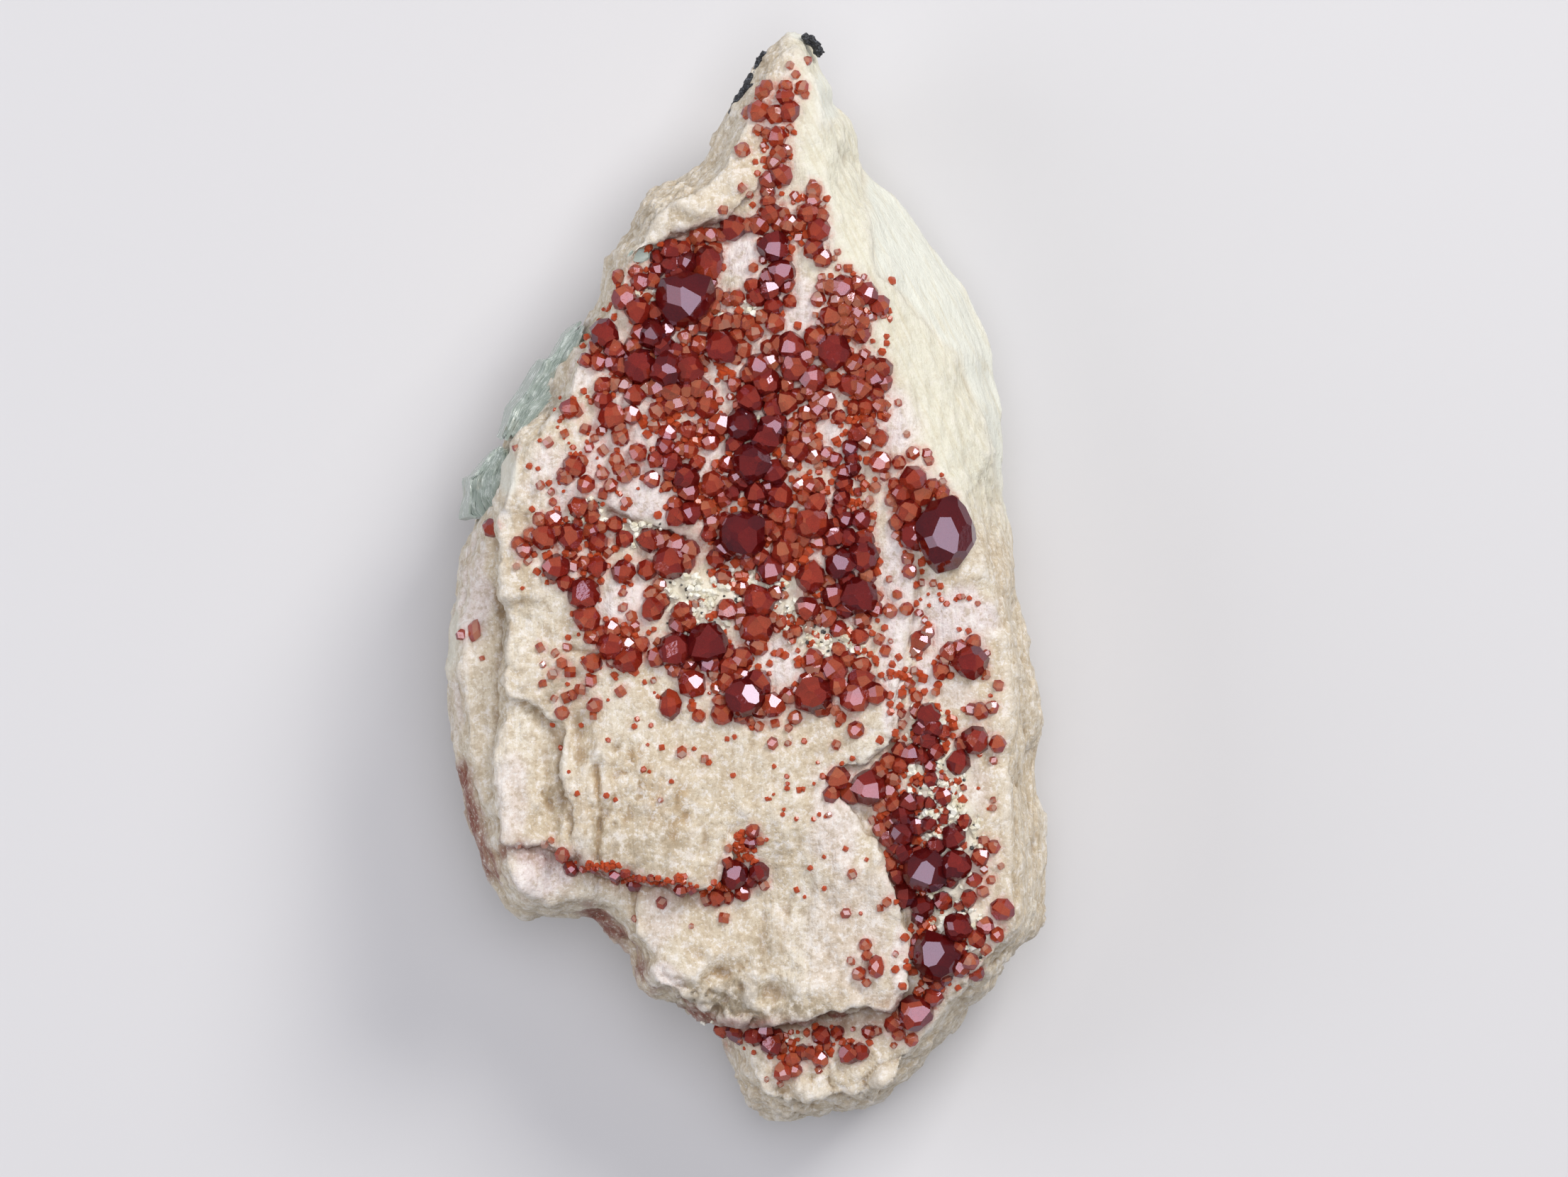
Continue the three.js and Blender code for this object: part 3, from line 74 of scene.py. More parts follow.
# The garnet crystals seen in the photograph, one list for each part of the face: x, y and diameter
# in mm, and for the longest ones their length over width.
CRYSTALS = {
    "point": [
        (2.5, 61.4, 1.7), (2.9, 62.3, 1.5), (5.3, 62.2, 1.5), (5.2, 60.9, 1.9), (1.8, 59.0, 2.3),
        (0.6, 58.9, 1.5), (3.9, 58.7, 2.0), (5.6, 59.1, 2.3), (4.1, 55.8, 2.1), (2.9, 56.3, 1.3),
        (4.4, 53.7, 2.0), (5.3, 54.1, 1.4), (3.8, 52.6, 1.7), (4.5, 51.0, 2.6), (3.1, 50.5, 1.9),
        (2.9, 49.0, 1.6), (2.9, 47.6, 1.7), (-0.2, 54.2, 1.6), (7.2, 62.2, 1.5), (7.7, 61.2, 1.0),
        (5.8, 65.0, 0.9), (7.8, 65.6, 1.0), (6.5, 63.8, 0.9), (1.9, 61.9, 0.9), (1.7, 56.8, 1.1),
        (5.8, 56.9, 0.9), (2.7, 56.2, 1.0), (2.4, 54.8, 0.8), (-0.4, 49.4, 1.0), (0.6, 48.6, 0.8),
        (-2.8, 46.6, 1.1), (6.4, 48.4, 1.0), (8.7, 49.8, 1.0), (9.8, 47.1, 0.9),
    ],
    "shoulder": [
        (8.8, 49.0, 1.7), (8.6, 47.6, 1.7), (8.2, 46.0, 2.3), (9.8, 45.8, 1.6), (9.5, 43.8, 2.6),
        (8.8, 41.6, 2.1), (9.9, 40.4, 2.0), (5.7, 44.7, 2.1), (7.0, 44.6, 1.7), (3.2, 46.0, 2.4),
        (4.3, 44.8, 1.7), (1.9, 44.6, 2.2), (0.3, 44.6, 1.7), (-1.5, 44.3, 2.7), (-2.9, 43.4, 1.6),
        (-4.4, 43.4, 1.8), (-5.9, 43.4, 2.0), (3.9, 41.7, 3.5), (2.4, 42.0, 1.8), (5.3, 40.2, 1.4),
        (4.8, 38.4, 3.0), (3.0, 37.8, 2.0), (3.1, 36.4, 2.5), (1.5, 35.5, 2.1), (5.4, 37.0, 1.7),
        (5.8, 34.9, 1.5), (3.7, 34.3, 2.1), (3.9, 32.1, 2.1), (2.2, 33.0, 1.6), (0.9, 37.0, 1.6),
        (11.4, 40.4, 0.7), (11.8, 41.2, 0.7), (2.3, 40.2, 0.9), (1.1, 39.2, 1.2), (6.9, 43.1, 1.1),
        (13.2, 39.1, 1.1), (11.9, 39.2, 0.8), (15.1, 38.0, 0.7), (7.2, 46.6, 1.2), (5.0, 46.2, 1.3),
    ],
    "upper_left": [
        (-8.0, 41.6, 2.0), (-9.5, 41.4, 2.4), (-10.9, 40.6, 1.8), (-9.4, 39.6, 2.3),
        (-11.1, 39.1, 1.8), (-7.6, 39.8, 2.6), (-5.6, 41.5, 1.7), (-6.0, 40.0, 1.8),
        (-3.8, 41.4, 1.9), (-4.5, 39.7, 3.1, 1.25), (-8.4, 38.4, 1.8), (-9.4, 37.6, 1.6),
        (-7.3, 34.9, 6.1), (-15.8, 38.0, 1.6), (-13.2, 37.3, 2.1), (-11.8, 37.4, 1.8),
        (-15.3, 35.3, 2.7), (-13.6, 33.7, 2.8), (-11.1, 33.5, 2.2), (-13.9, 38.7, 1.5),
        (-13.3, 31.0, 2.0), (-11.4, 30.6, 3.2), (-9.8, 31.3, 2.0), (-10.3, 29.2, 2.4),
        (-17.8, 30.8, 3.0), (-18.8, 29.2, 1.7), (-16.6, 28.8, 2.2), (-14.1, 29.2, 1.8),
        (-20.1, 27.4, 1.5), (-18.5, 27.1, 1.9), (-17.0, 27.2, 1.8), (-13.4, 26.6, 3.6),
        (-9.8, 26.0, 3.9), (-7.2, 26.3, 3.5), (-15.7, 26.6, 2.2), (-8.9, 28.6, 1.9),
        (-7.5, 28.4, 1.5), (-7.6, 30.4, 1.5), (-5.8, 29.3, 2.1), (-6.6, 31.6, 1.8),
        (-3.0, 29.1, 3.5), (-5.2, 32.2, 2.4), (-4.0, 34.2, 1.6), (-3.4, 35.6, 1.6),
        (-2.1, 35.2, 1.6), (-0.9, 35.3, 1.7), (-3.4, 31.9, 1.9), (-2.2, 32.3, 1.9),
        (-1.0, 32.3, 1.8), (0.3, 32.2, 1.9), (1.2, 31.0, 1.9), (-1.0, 30.6, 1.6), (-0.2, 28.8, 1.9),
        (-1.2, 27.6, 1.4), (-18.0, 24.2, 1.9), (-16.6, 24.4, 1.7), (-18.2, 22.5, 2.0),
        (-15.2, 24.2, 1.8), (-13.8, 23.0, 2.3), (-12.3, 23.8, 1.7), (-16.9, 20.3, 2.8),
        (-14.3, 20.5, 2.1), (-16.0, 18.8, 1.6), (-15.9, 17.7, 1.9), (-11.1, 20.9, 1.9),
        (-9.7, 21.5, 2.0), (-11.2, 23.8, 2.2), (-9.3, 23.6, 2.5), (-7.5, 23.6, 2.1),
        (-8.3, 22.0, 2.0), (-5.9, 24.0, 2.5), (-6.7, 21.9, 1.9), (-4.9, 21.6, 2.5),
        (-4.6, 23.2, 1.9), (-3.4, 19.2, 2.5), (-4.4, 17.0, 2.0), (-22.1, 21.2, 2.1),
        (-11.5, 35.5, 0.6), (-12.0, 28.0, 1.2), (-4.2, 37.3, 1.3), (-6.2, 38.1, 1.2),
        (-21.3, 20.8, 1.2), (-20.2, 18.7, 1.2), (-18.2, 18.5, 1.2), (-22.9, 18.1, 1.0),
        (-19.1, 17.5, 0.9), (-25.0, 17.0, 1.1), (-29.1, 16.3, 0.7), (-19.8, 16.3, 1.1),
        (-18.1, 16.0, 1.2), (-11.6, 25.4, 1.3), (-5.2, 27.3, 1.2), (-2.3, 25.2, 0.9),
    ],
    "ridge": [
        (10.0, 36.8, 1.5), (10.9, 36.7, 1.7), (12.5, 36.6, 2.5), (14.2, 37.2, 1.6),
        (15.3, 35.8, 2.5), (16.8, 34.3, 2.3), (9.4, 35.2, 1.6), (11.8, 35.0, 1.9),
        (14.2, 34.8, 1.9), (13.1, 35.3, 1.8), (14.1, 33.4, 2.0), (12.6, 33.8, 1.8),
        (10.8, 33.0, 2.3), (12.8, 32.3, 1.9),
        (14.7, 32.2, 2.1), (11.8, 31.3, 1.7), (13.2, 31.2, 1.8), (14.7, 30.8, 1.9),
        (8.8, 30.4, 2.3), (9.0, 28.8, 2.1), (11.3, 28.5, 3.7), (9.7, 32.3, 1.0), (9.0, 33.2, 0.7),
        (15.4, 31.2, 1.3), (10.8, 31.2, 1.1), (9.8, 37.9, 0.9), (16.0, 33.0, 0.9), (9.7, 26.3, 0.8),
    ],
    "centre": [
        (5.8, 29.2, 3.1), (4.4, 29.2, 2.3), (3.1, 29.0, 1.8), (7.7, 27.9, 2.1), (5.3, 27.6, 1.9),
        (6.3, 26.6, 3.1), (1.7, 26.7, 2.7), (3.1, 27.2, 2.2), (0.5, 25.6, 2.0), (2.8, 24.6, 3.2),
        (8.6, 25.1, 2.7), (11.2, 25.0, 1.9), (13.2, 24.3, 2.3), (13.9, 27.0, 2.2),
        (16.0, 26.9, 2.0), (17.4, 26.4, 2.3), (16.6, 25.2, 2.5), (17.6, 24.6, 1.9),
        (15.0, 23.9, 2.3), (14.3, 25.7, 1.9), (16.8, 23.3, 1.7), (17.2, 21.7, 1.7),
        (13.9, 21.3, 1.7), (15.3, 21.4, 1.8), (0.8, 22.7, 3.0), (3.8, 21.3, 2.5), (3.2, 22.9, 1.8),
        (5.3, 22.0, 2.5), (6.7, 22.9, 1.8), (5.4, 24.4, 1.7), (8.0, 23.6, 2.0), (9.2, 22.8, 1.9),
        (10.5, 22.2, 2.1), (9.2, 21.2, 2.2), (7.7, 20.6, 1.8), (8.9, 20.4, 1.7), (-0.6, 20.8, 1.7),
        (-0.1, 19.1, 3.5), (2.6, 17.5, 3.5), (3.6, 18.9, 3.1), (-1.1, 16.6, 2.1), (1.0, 14.1, 4.2),
        (3.8, 13.2, 2.7), (-2.3, 14.2, 1.8), (-4.0, 11.7, 2.6), (-2.5, 11.8, 1.7),
        (-1.2, 12.6, 1.7), (-0.4, 11.9, 1.9), (-2.8, 9.9, 2.0), (-1.5, 10.6, 1.7), (1.5, 10.4, 2.4),
        (4.4, 10.1, 2.8), (2.9, 11.3, 1.5), (6.1, 19.2, 1.6), (6.2, 17.7, 1.7), (8.1, 18.8, 1.7),
        (7.9, 17.4, 1.8), (8.9, 16.6, 1.8), (6.8, 15.9, 2.5), (8.8, 15.2, 1.8), (5.6, 14.6, 1.9),
        (10.3, 15.5, 1.7), (11.4, 14.8, 1.7), (13.5, 13.7, 1.9), (12.4, 13.3, 1.8),
        (12.5, 11.6, 2.0), (12.1, 9.9, 1.9), (11.9, 8.3, 1.8), (12.7, 7.1, 1.9), (14.3, 18.1, 2.2),
        (15.8, 19.4, 1.6), (16.2, 18.2, 1.7), (15.4, 17.0, 1.8), (17.2, 17.5, 1.8),
        (13.4, 16.2, 1.8), (13.6, 15.0, 1.6), (17.3, 14.5, 2.4), (7.0, 11.5, 1.6),
        (8.3, 11.3, 1.8), (9.2, 11.6, 1.6), (7.6, 10.1, 1.7), (9.0, 9.2, 2.5), (8.4, 6.8, 3.5),
        (5.9, 7.0, 2.0), (4.2, 7.8, 2.1), (2.7, 8.4, 1.6), (1.4, 8.7, 1.6), (-0.2, 5.3, 5.0),
        (2.9, 6.2, 2.0), (-2.4, 6.9, 2.0), (-4.2, 6.8, 1.9), (-4.7, 5.3, 1.8), (-2.5, 3.6, 2.7),
        (4.0, 5.5, 1.9), (5.8, 5.2, 2.0), (7.6, 4.7, 1.7), (9.3, 4.3, 1.7), (4.9, 3.2, 2.7),
        (6.5, 3.4, 2.0), (-3.6, 2.2, 2.0), (0.5, 1.8, 1.9), (2.0, 2.5, 1.9), (3.3, 0.8, 3.2),
        (6.0, 0.9, 1.9), (8.5, -0.1, 3.2), (-2.8, -0.2, 1.8), (11.2, 5.1, 2.3), (13.1, 4.8, 2.1),
        (15.1, 4.6, 2.3), (14.8, 7.2, 2.3), (15.3, 2.6, 3.3), (12.3, 1.6, 3.3), (10.8, 3.2, 1.6),
        (15.6, -0.1, 1.8), (13.0, -0.4, 1.9), (14.7, -2.5, 4.1), (11.3, -2.4, 2.7),
        (10.6, -0.9, 1.7), (12.8, -4.3, 2.0), (16.6, -4.2, 1.7), (10.4, -5.4, 2.1),
        (14.9, -5.6, 1.8), (15.2, 28.2, 1.2), (17.8, 20.3, 1.2), (18.0, 21.7, 1.0),
        (19.5, 22.0, 0.8), (10.0, 20.5, 1.3), (12.0, 20.2, 1.5), (11.3, 6.7, 1.2),
        (16.7, 11.3, 1.3), (17.8, 12.7, 1.1), (14.9, 12.4, 0.9), (14.3, 10.7, 1.0),
        (15.4, 9.1, 0.9), (15.9, 9.6, 1.0), (16.1, 6.9, 1.1), (16.8, 3.1, 0.9), (18.4, -0.4, 0.8),
        (19.4, -2.4, 1.1), (18.5, -4.4, 1.5), (20.6, -4.2, 1.4), (16.9, -2.6, 1.2),
        (9.3, 14.0, 1.0), (1.2, 8.7, 1.2), (-1.3, 24.4, 1.6), (-0.5, 24.2, 1.0), (-1.8, 22.8, 0.9),
        (20.6, 18.0, 0.8), (21.4, 15.6, 1.4), (19.7, 14.4, 1.5), (23.0, 15.5, 1.2),
        (23.5, 14.7, 1.1),
    ],
    "left": [
        (-11.5, 19.1, 1.4), (-9.9, 18.1, 1.9), (-10.1, 16.5, 2.1), (-11.2, 14.8, 1.9),
        (-9.3, 14.5, 2.3), (-8.5, 16.2, 1.6), (-7.1, 16.0, 1.9), (-7.2, 18.6, 1.9),
        (-5.7, 18.6, 1.5), (-7.5, 12.4, 2.9), (-9.6, 13.0, 1.6), (-7.2, 11.0, 2.4),
        (-8.7, 7.6, 2.2), (-7.0, 8.0, 2.4), (-4.9, 8.6, 2.1), (-8.9, 9.2, 1.6), (-6.0, 14.4, 1.7),
        (-21.7, 13.8, 2.3), (-20.7, 14.6, 1.4), (-22.8, 12.5, 1.7), (-16.3, 14.7, 1.6),
        (-16.0, 13.6, 1.5), (-15.2, 12.8, 1.7), (-14.2, 13.4, 1.5), (-20.2, 11.7, 1.9),
        (-17.0, 11.5, 1.5), (-11.8, 12.3, 1.8), (-21.3, 8.8, 2.2), (-19.5, 8.9, 1.5),
        (-19.5, 7.5, 1.7), (-26.0, 7.1, 1.5), (-24.4, 7.2, 1.9), (-25.5, 4.9, 2.6),
        (-27.2, 5.2, 1.6), (-22.4, 5.0, 2.7), (-24.0, 5.6, 1.6), (-18.5, 6.3, 1.7),
        (-19.6, 5.7, 1.9), (-16.6, 6.6, 1.8), (-18.8, 4.2, 2.2), (-15.3, 4.6, 2.0),
        (-28.8, 4.0, 1.6), (-28.0, 3.2, 1.7),
        (-24.1, 1.1, 2.8), (-22.9, -0.8, 1.8), (-20.5, -2.3, 3.4), (-20.5, 1.5, 1.6),
        (-18.9, 1.1, 2.2), (-20.1, -5.4, 2.8), (-20.6, -3.9, 1.4), (-19.5, -7.7, 1.7),
        (-18.3, -7.2, 1.5), (-16.9, -6.8, 1.9), (-17.0, -8.9, 2.8), (-15.0, -8.8, 1.8),
        (-14.8, -10.5, 2.9), (-13.3, -8.7, 1.8), (-15.1, -7.1, 1.4), (-12.4, 4.7, 2.7),
        (-10.6, 4.6, 2.3), (-8.7, 4.0, 2.2), (-6.8, 3.3, 2.1), (-9.3, 1.6, 3.6), (-7.5, 1.6, 2.2),
        (-12.5, 0.8, 2.2), (-15.5, 0.6, 2.4), (-11.6, -4.3, 2.5), (-10.5, -3.2, 1.8),
        (-11.9, -2.3, 1.6), (-10.8, -1.3, 1.5), (-7.9, -4.6, 2.3), (-8.5, -6.2, 2.0),
        (-7.2, -6.1, 1.8), (-32.1, 6.2, 1.9), (-23.3, 13.0, 1.1), (-18.1, 13.0, 1.4),
        (-18.0, 10.5, 1.2), (-26.0, 11.5, 1.0), (-24.6, 10.7, 0.8), (-24.4, 9.4, 0.9),
        (-15.1, 9.4, 1.3), (-10.0, 11.5, 1.3), (-21.3, 6.8, 1.1), (-17.5, 3.0, 1.1),
        (-19.3, 3.1, 0.9), (-22.0, 2.7, 1.2), (-27.6, 1.9, 0.9), (-29.0, 1.2, 0.8),
        (-21.9, 1.2, 1.2), (-24.5, -0.3, 1.2), (-14.9, -0.4, 1.2), (-15.5, -2.2, 0.9),
        (-15.5, -4.0, 1.0),
        (-14.4, -5.1, 1.2), (-14.0, -6.4, 1.2), (-36.0, -7.5, 1.2), (-34.5, -7.0, 1.2, 2.0),
        (-33.5, -10.5, 0.6), (-13.5, 15.7, 1.9),
    ],
    "lower_field": [
        (-9.0, -9.4, 3.8), (-4.9, -8.4, 4.5), (-11.2, -10.3, 2.1), (-7.0, -11.1, 1.9),
        (-4.6, -11.0, 2.3), (-6.5, -13.8, 2.9), (-7.6, -12.6, 1.7), (-9.6, -16.4, 2.2, 1.4),
        (-2.2, -9.6, 1.8), (-0.5, -10.4, 2.3), (-2.2, -11.5, 2.2), (-0.5, -12.9, 2.0),
        (-2.3, -13.5, 2.1), (0.0, -15.5, 4.3), (1.8, -13.7, 2.9), (3.5, -16.4, 2.6),
        (2.0, -17.0, 1.9), (-2.9, -17.5, 2.2), (-0.4, -17.8, 1.8), (1.7, -3.2, 3.5),
        (1.6, -6.3, 3.6), (3.5, -5.5, 1.7), (4.7, -5.8, 1.6), (3.8, -2.2, 1.7), (-2.3, -4.3, 2.3),
        (-0.6, -4.4, 1.9), (-0.4, -5.7, 1.7), (-0.4, -1.6, 1.7), (1.8, -9.0, 2.0),
        (7.8, -4.1, 2.6), (5.5, -15.2, 1.8), (6.6, -14.7, 1.4), (8.6, -15.2, 4.1),
        (7.9, -13.4, 2.0), (8.9, -10.6, 2.2), (8.8, -11.9, 1.9), (9.8, -16.6, 2.3),
        (9.6, -13.0, 1.8), (11.5, -11.8, 2.8), (11.9, -14.1, 2.3), (13.2, -10.6, 1.8),
        (12.0, -9.4, 1.6), (12.0, -6.7, 1.8), (14.6, -7.7, 1.9), (14.9, -11.5, 2.0),
        (14.9, -13.3, 2.7), (14.0, -15.5, 3.1), (16.7, -15.0, 2.3), (14.2, -19.6, 1.8),
        (-19.4, -11.0, 2.0), (-22.7, -9.1, 1.1), (-26.0, -9.1, 1.0), (-24.1, -9.8, 0.9),
        (-25.7, -11.3, 0.7), (-23.3, -11.1, 1.2), (-22.2, -12.2, 1.3), (-24.5, -12.5, 1.2),
        (-25.7, -13.7, 0.9), (-19.6, -13.4, 1.3), (-20.9, -14.4, 1.2), (-22.0, -15.1, 1.2),
        (-22.7, -15.4, 1.2), (-24.2, -15.6, 0.8), (-15.8, -14.7, 1.2), (-19.1, -16.4, 1.6),
        (-23.3, -17.3, 1.5), (-19.2, -17.8, 0.9), (-16.9, -11.1, 1.1), (-5.8, -17.8, 1.4),
        (-11.6, -13.3, 0.7), (-6.2, -3.5, 1.0), (-5.4, -3.1, 0.8), (-11.1, -8.4, 1.0),
        (-8.9, -12.0, 1.6), (5.1, -2.5, 1.0), (6.0, -5.5, 0.9), (9.2, -2.0, 1.0), (7.8, -2.2, 0.7),
        (6.5, -7.0, 1.4), (5.6, -7.5, 1.3), (8.0, -6.9, 0.9), (8.2, -6.0, 1.0), (0.5, -8.5, 0.8),
        (-4.0, -12.5, 1.4), (-3.6, -14.5, 1.0), (-3.3, -15.8, 1.4), (0.7, -18.5, 1.1),
        (1.8, -19.2, 1.1), (3.9, -18.8, 1.0), (6.5, -18.0, 1.5), (5.6, -19.3, 0.9),
        (5.5, -21.3, 0.7), (3.5, -21.3, 1.2), (12.2, -18.0, 1.3), (11.5, -17.1, 1.2),
        (11.7, -21.5, 1.1), (9.5, -5.5, 1.6), (9.6, -4.2, 1.2), (17.1, -8.1, 1.2),
        (18.6, -8.3, 0.6), (17.9, -9.6, 1.2), (18.0, -13.0, 0.6), (15.3, -5.6, 1.3),
        (-5.1, -23.3, 0.9), (-8.0, -22.5, 1.2), (13.1, -8.4, 0.8), (14.4, -9.1, 0.9),
        (-10.7, -28.5, 0.6),
    ],
    "knot": [
        (21.5, 12.2, 2.9), (19.9, 10.6, 2.3), (19.1, 11.6, 1.5), (22.5, 10.4, 2.5),
        (23.9, 11.4, 1.6), (25.0, 10.5, 1.7), (20.8, 8.2, 2.7), (19.4, 6.8, 1.8),
        (21.4, 5.1, 3.1), (25.2, 5.4, 5.9, 1.3), (18.7, 9.6, 1.4), (19.5, 8.7, 1.2),
        (25.1, 11.8, 1.0), (26.6, 9.5, 1.2), (28.0, 6.2, 0.7), (20.8, 2.2, 1.3), (20.9, 0.6, 1.5),
        (19.4, 5.3, 1.2), (24.0, -0.9, 0.8), (22.6, -0.9, 0.9), (22.2, -4.7, 0.9),
        (27.8, -2.6, 0.6), (29.6, -3.5, 0.6),
    ],
    "vein": [
        (22.4, -8.2, 2.3), (21.8, -9.6, 1.6), (23.3, -7.1, 1.5), (25.1, -12.1, 1.9),
        (25.5, -10.9, 1.3), (26.2, -9.7, 2.1), (27.4, -9.2, 1.9), (29.1, -8.4, 1.6),
        (28.8, -10.9, 3.6), (22.1, -17.2, 1.8), (23.3, -17.8, 2.7), (22.7, -19.2, 2.1),
        (24.0, -19.5, 2.1), (25.3, -20.0, 1.6), (23.7, -21.0, 2.1), (22.1, -20.8, 1.4),
        (24.4, -22.3, 1.9), (21.2, -22.7, 2.2), (19.8, -22.2, 1.8), (22.7, -23.0, 1.9),
        (19.8, -24.1, 1.7), (18.3, -23.6, 1.8), (23.7, -24.2, 1.6), (17.2, -24.8, 2.0),
        (29.3, -20.9, 2.8), (27.7, -21.3, 1.8), (27.0, -23.7, 2.6), (32.1, -21.3, 1.8),
        (15.8, -27.0, 3.9), (13.3, -27.6, 2.3), (11.8, -25.7, 2.6), (11.0, -27.8, 1.8),
        (18.4, -27.6, 2.0), (18.9, -25.8, 1.7), (19.0, -29.2, 1.9), (17.3, -29.0, 1.8),
        (21.0, -28.7, 2.2), (22.4, -28.8, 1.6), (23.7, -28.9, 1.5), (25.3, -28.1, 1.9),
        (23.8, -26.0, 1.7), (20.0, -30.6, 2.5), (18.7, -31.4, 1.8), (17.4, -32.2, 1.9),
        (20.0, -32.6, 2.9), (22.0, -31.9, 2.1), (18.4, -33.4, 1.9), (19.2, -34.7, 1.9),
        (20.4, -35.3, 2.3), (23.5, -31.6, 1.8), (24.4, -34.3, 2.1), (26.6, -33.1, 2.6),
        (27.9, -31.1, 1.6), (26.8, -36.8, 3.4), (22.9, -37.6, 4.9), (22.1, -35.4, 2.0),
        (18.5, -36.7, 1.6), (19.3, -38.2, 1.9), (20.2, -40.6, 2.8), (29.9, -35.7, 1.9),
        (26.2, -38.8, 1.7), (29.2, -38.7, 1.6), (28.5, -41.0, 1.8), (25.4, -41.3, 2.1),
        (22.8, -41.9, 2.5), (22.3, -43.3, 1.8), (27.4, -44.5, 3.2), (32.8, -42.4, 2.4),
        (30.6, -44.4, 1.9), (32.0, -45.5, 1.6), (29.5, -46.0, 2.0), (21.7, -46.6, 1.9),
        (21.3, -48.1, 1.6), (24.7, -48.2, 5.2), (27.5, -47.4, 1.8), (27.5, -49.6, 2.1),
        (28.7, -49.0, 1.8), (29.4, -50.4, 1.8), (23.7, -50.9, 2.0), (25.5, -51.1, 1.8),
        (24.6, -52.0, 1.6), (24.0, -53.6, 2.1), (21.9, -55.5, 3.8), (19.9, -55.8, 1.9),
        (19.0, -57.0, 2.0), (19.6, -58.4, 1.5), (22.9, -5.6, 0.8), (20.9, -13.8, 1.2),
        (21.6, -12.0, 1.0), (24.3, -14.7, 1.0), (30.8, -9.8, 0.8), (30.7, -12.6, 1.0),
        (32.2, -14.0, 1.2), (22.0, -15.5, 1.4), (30.0, -17.3, 1.8), (28.9, -17.0, 1.3),
        (31.6, -16.7, 1.4), (19.8, -17.4, 1.2), (20.0, -18.9, 1.0), (19.3, -20.6, 1.0),
        (31.6, -23.5, 0.9), (25.2, -25.6, 0.8), (26.2, -26.3, 0.9), (22.0, -26.2, 1.0),
        (19.1, -26.3, 1.0), (27.8, -26.9, 0.7), (24.3, -27.3, 0.9), (25.6, -29.9, 0.8),
        (25.2, -30.9, 1.3), (31.6, -28.5, 0.7), (31.5, -29.5, 0.8), (16.3, -31.1, 0.9),
        (10.7, -30.4, 0.7), (21.7, -33.6, 1.1), (30.5, -33.8, 1.2), (31.6, -34.4, 1.5),
        (30.5, -37.3, 0.9), (32.6, -36.9, 0.8), (31.3, -38.7, 1.0), (27.4, -42.0, 1.2),
        (30.3, -40.1, 1.2), (22.4, -44.4, 0.8), (30.6, -47.5, 1.2), (21.2, -59.1, 1.4),
        (18.1, -41.5, 1.0), (17.2, -42.2, 0.8),
    ],
    "toe": [
        (-1.0, -58.0, 2.0), (-2.7, -57.8, 1.8), (1.2, -58.7, 2.0), (3.4, -59.7, 2.4),
        (2.6, -57.9, 1.8), (4.3, -58.6, 1.5), (4.6, -60.1, 1.5), (6.1, -61.7, 1.7),
        (5.1, -63.1, 2.1), (6.4, -63.0, 1.6), (7.3, -60.7, 1.6), (8.2, -60.7, 1.5),
        (9.6, -61.7, 1.7), (9.6, -58.5, 2.0), (13.3, -60.9, 2.2), (14.7, -60.6, 1.9),
        (11.8, -58.2, 1.5), (15.8, -58.1, 1.5), (-0.5, -59.3, 0.9), (-3.4, -58.3, 0.9),
        (-2.9, -60.5, 1.3), (10.5, -59.7, 1.3), (9.4, -63.0, 0.8), (2.8, -64.2, 0.6),
        (4.6, -64.8, 0.7), (13.8, -57.8, 0.6), (19.0, -59.8, 0.7), (16.8, -57.9, 1.1),
    ],
    "step": [
        (-1.3, -38.0, 3.1), (0.6, -38.6, 1.9), (1.9, -37.6, 2.2), (-3.6, -41.0, 1.9),
        (-2.2, -40.9, 1.5), (-0.3, -40.4, 1.7), (0.8, -33.8, 1.5), (1.1, -32.3, 1.5),
        (-13.9, -39.2, 1.7), (-23.1, -35.4, 1.6), (-22.0, -37.2, 1.7), (-8.1, -39.8, 1.5),
        (-24.6, -33.7, 0.8), (-25.5, -34.1, 0.9), (-28.9, -34.2, 0.8), (-20.5, -37.2, 1.0),
        (-19.3, -37.3, 0.8), (-16.5, -38.0, 1.3), (-15.2, -37.7, 1.2), (-16.5, -38.8, 1.0),
        (-13.4, -38.4, 0.9), (-11.9, -38.3, 0.8), (-10.6, -39.1, 0.7), (-6.8, -39.8, 1.0),
        (-4.8, -41.3, 1.2), (-2.1, -34.6, 1.0), (-2.2, -36.4, 1.2), (2.5, -39.4, 1.1),
        (2.0, -33.7, 1.0), (-10.6, -41.6, 1.2), (-2.6, -43.5, 1.2), (-13.9, -43.7, 0.8),
        (-6.8, -44.6, 0.6), (16.8, -49.7, 1.8, 1.3), (14.5, -50.6, 1.5), (15.4, -47.0, 1.4),
        (13.7, -37.9, 1.1), (12.9, -42.9, 1.1), (15.4, -48.2, 1.2), (13.6, -49.0, 0.9),
        (15.5, -51.7, 0.9), (19.2, -48.1, 0.7),
    ],
}

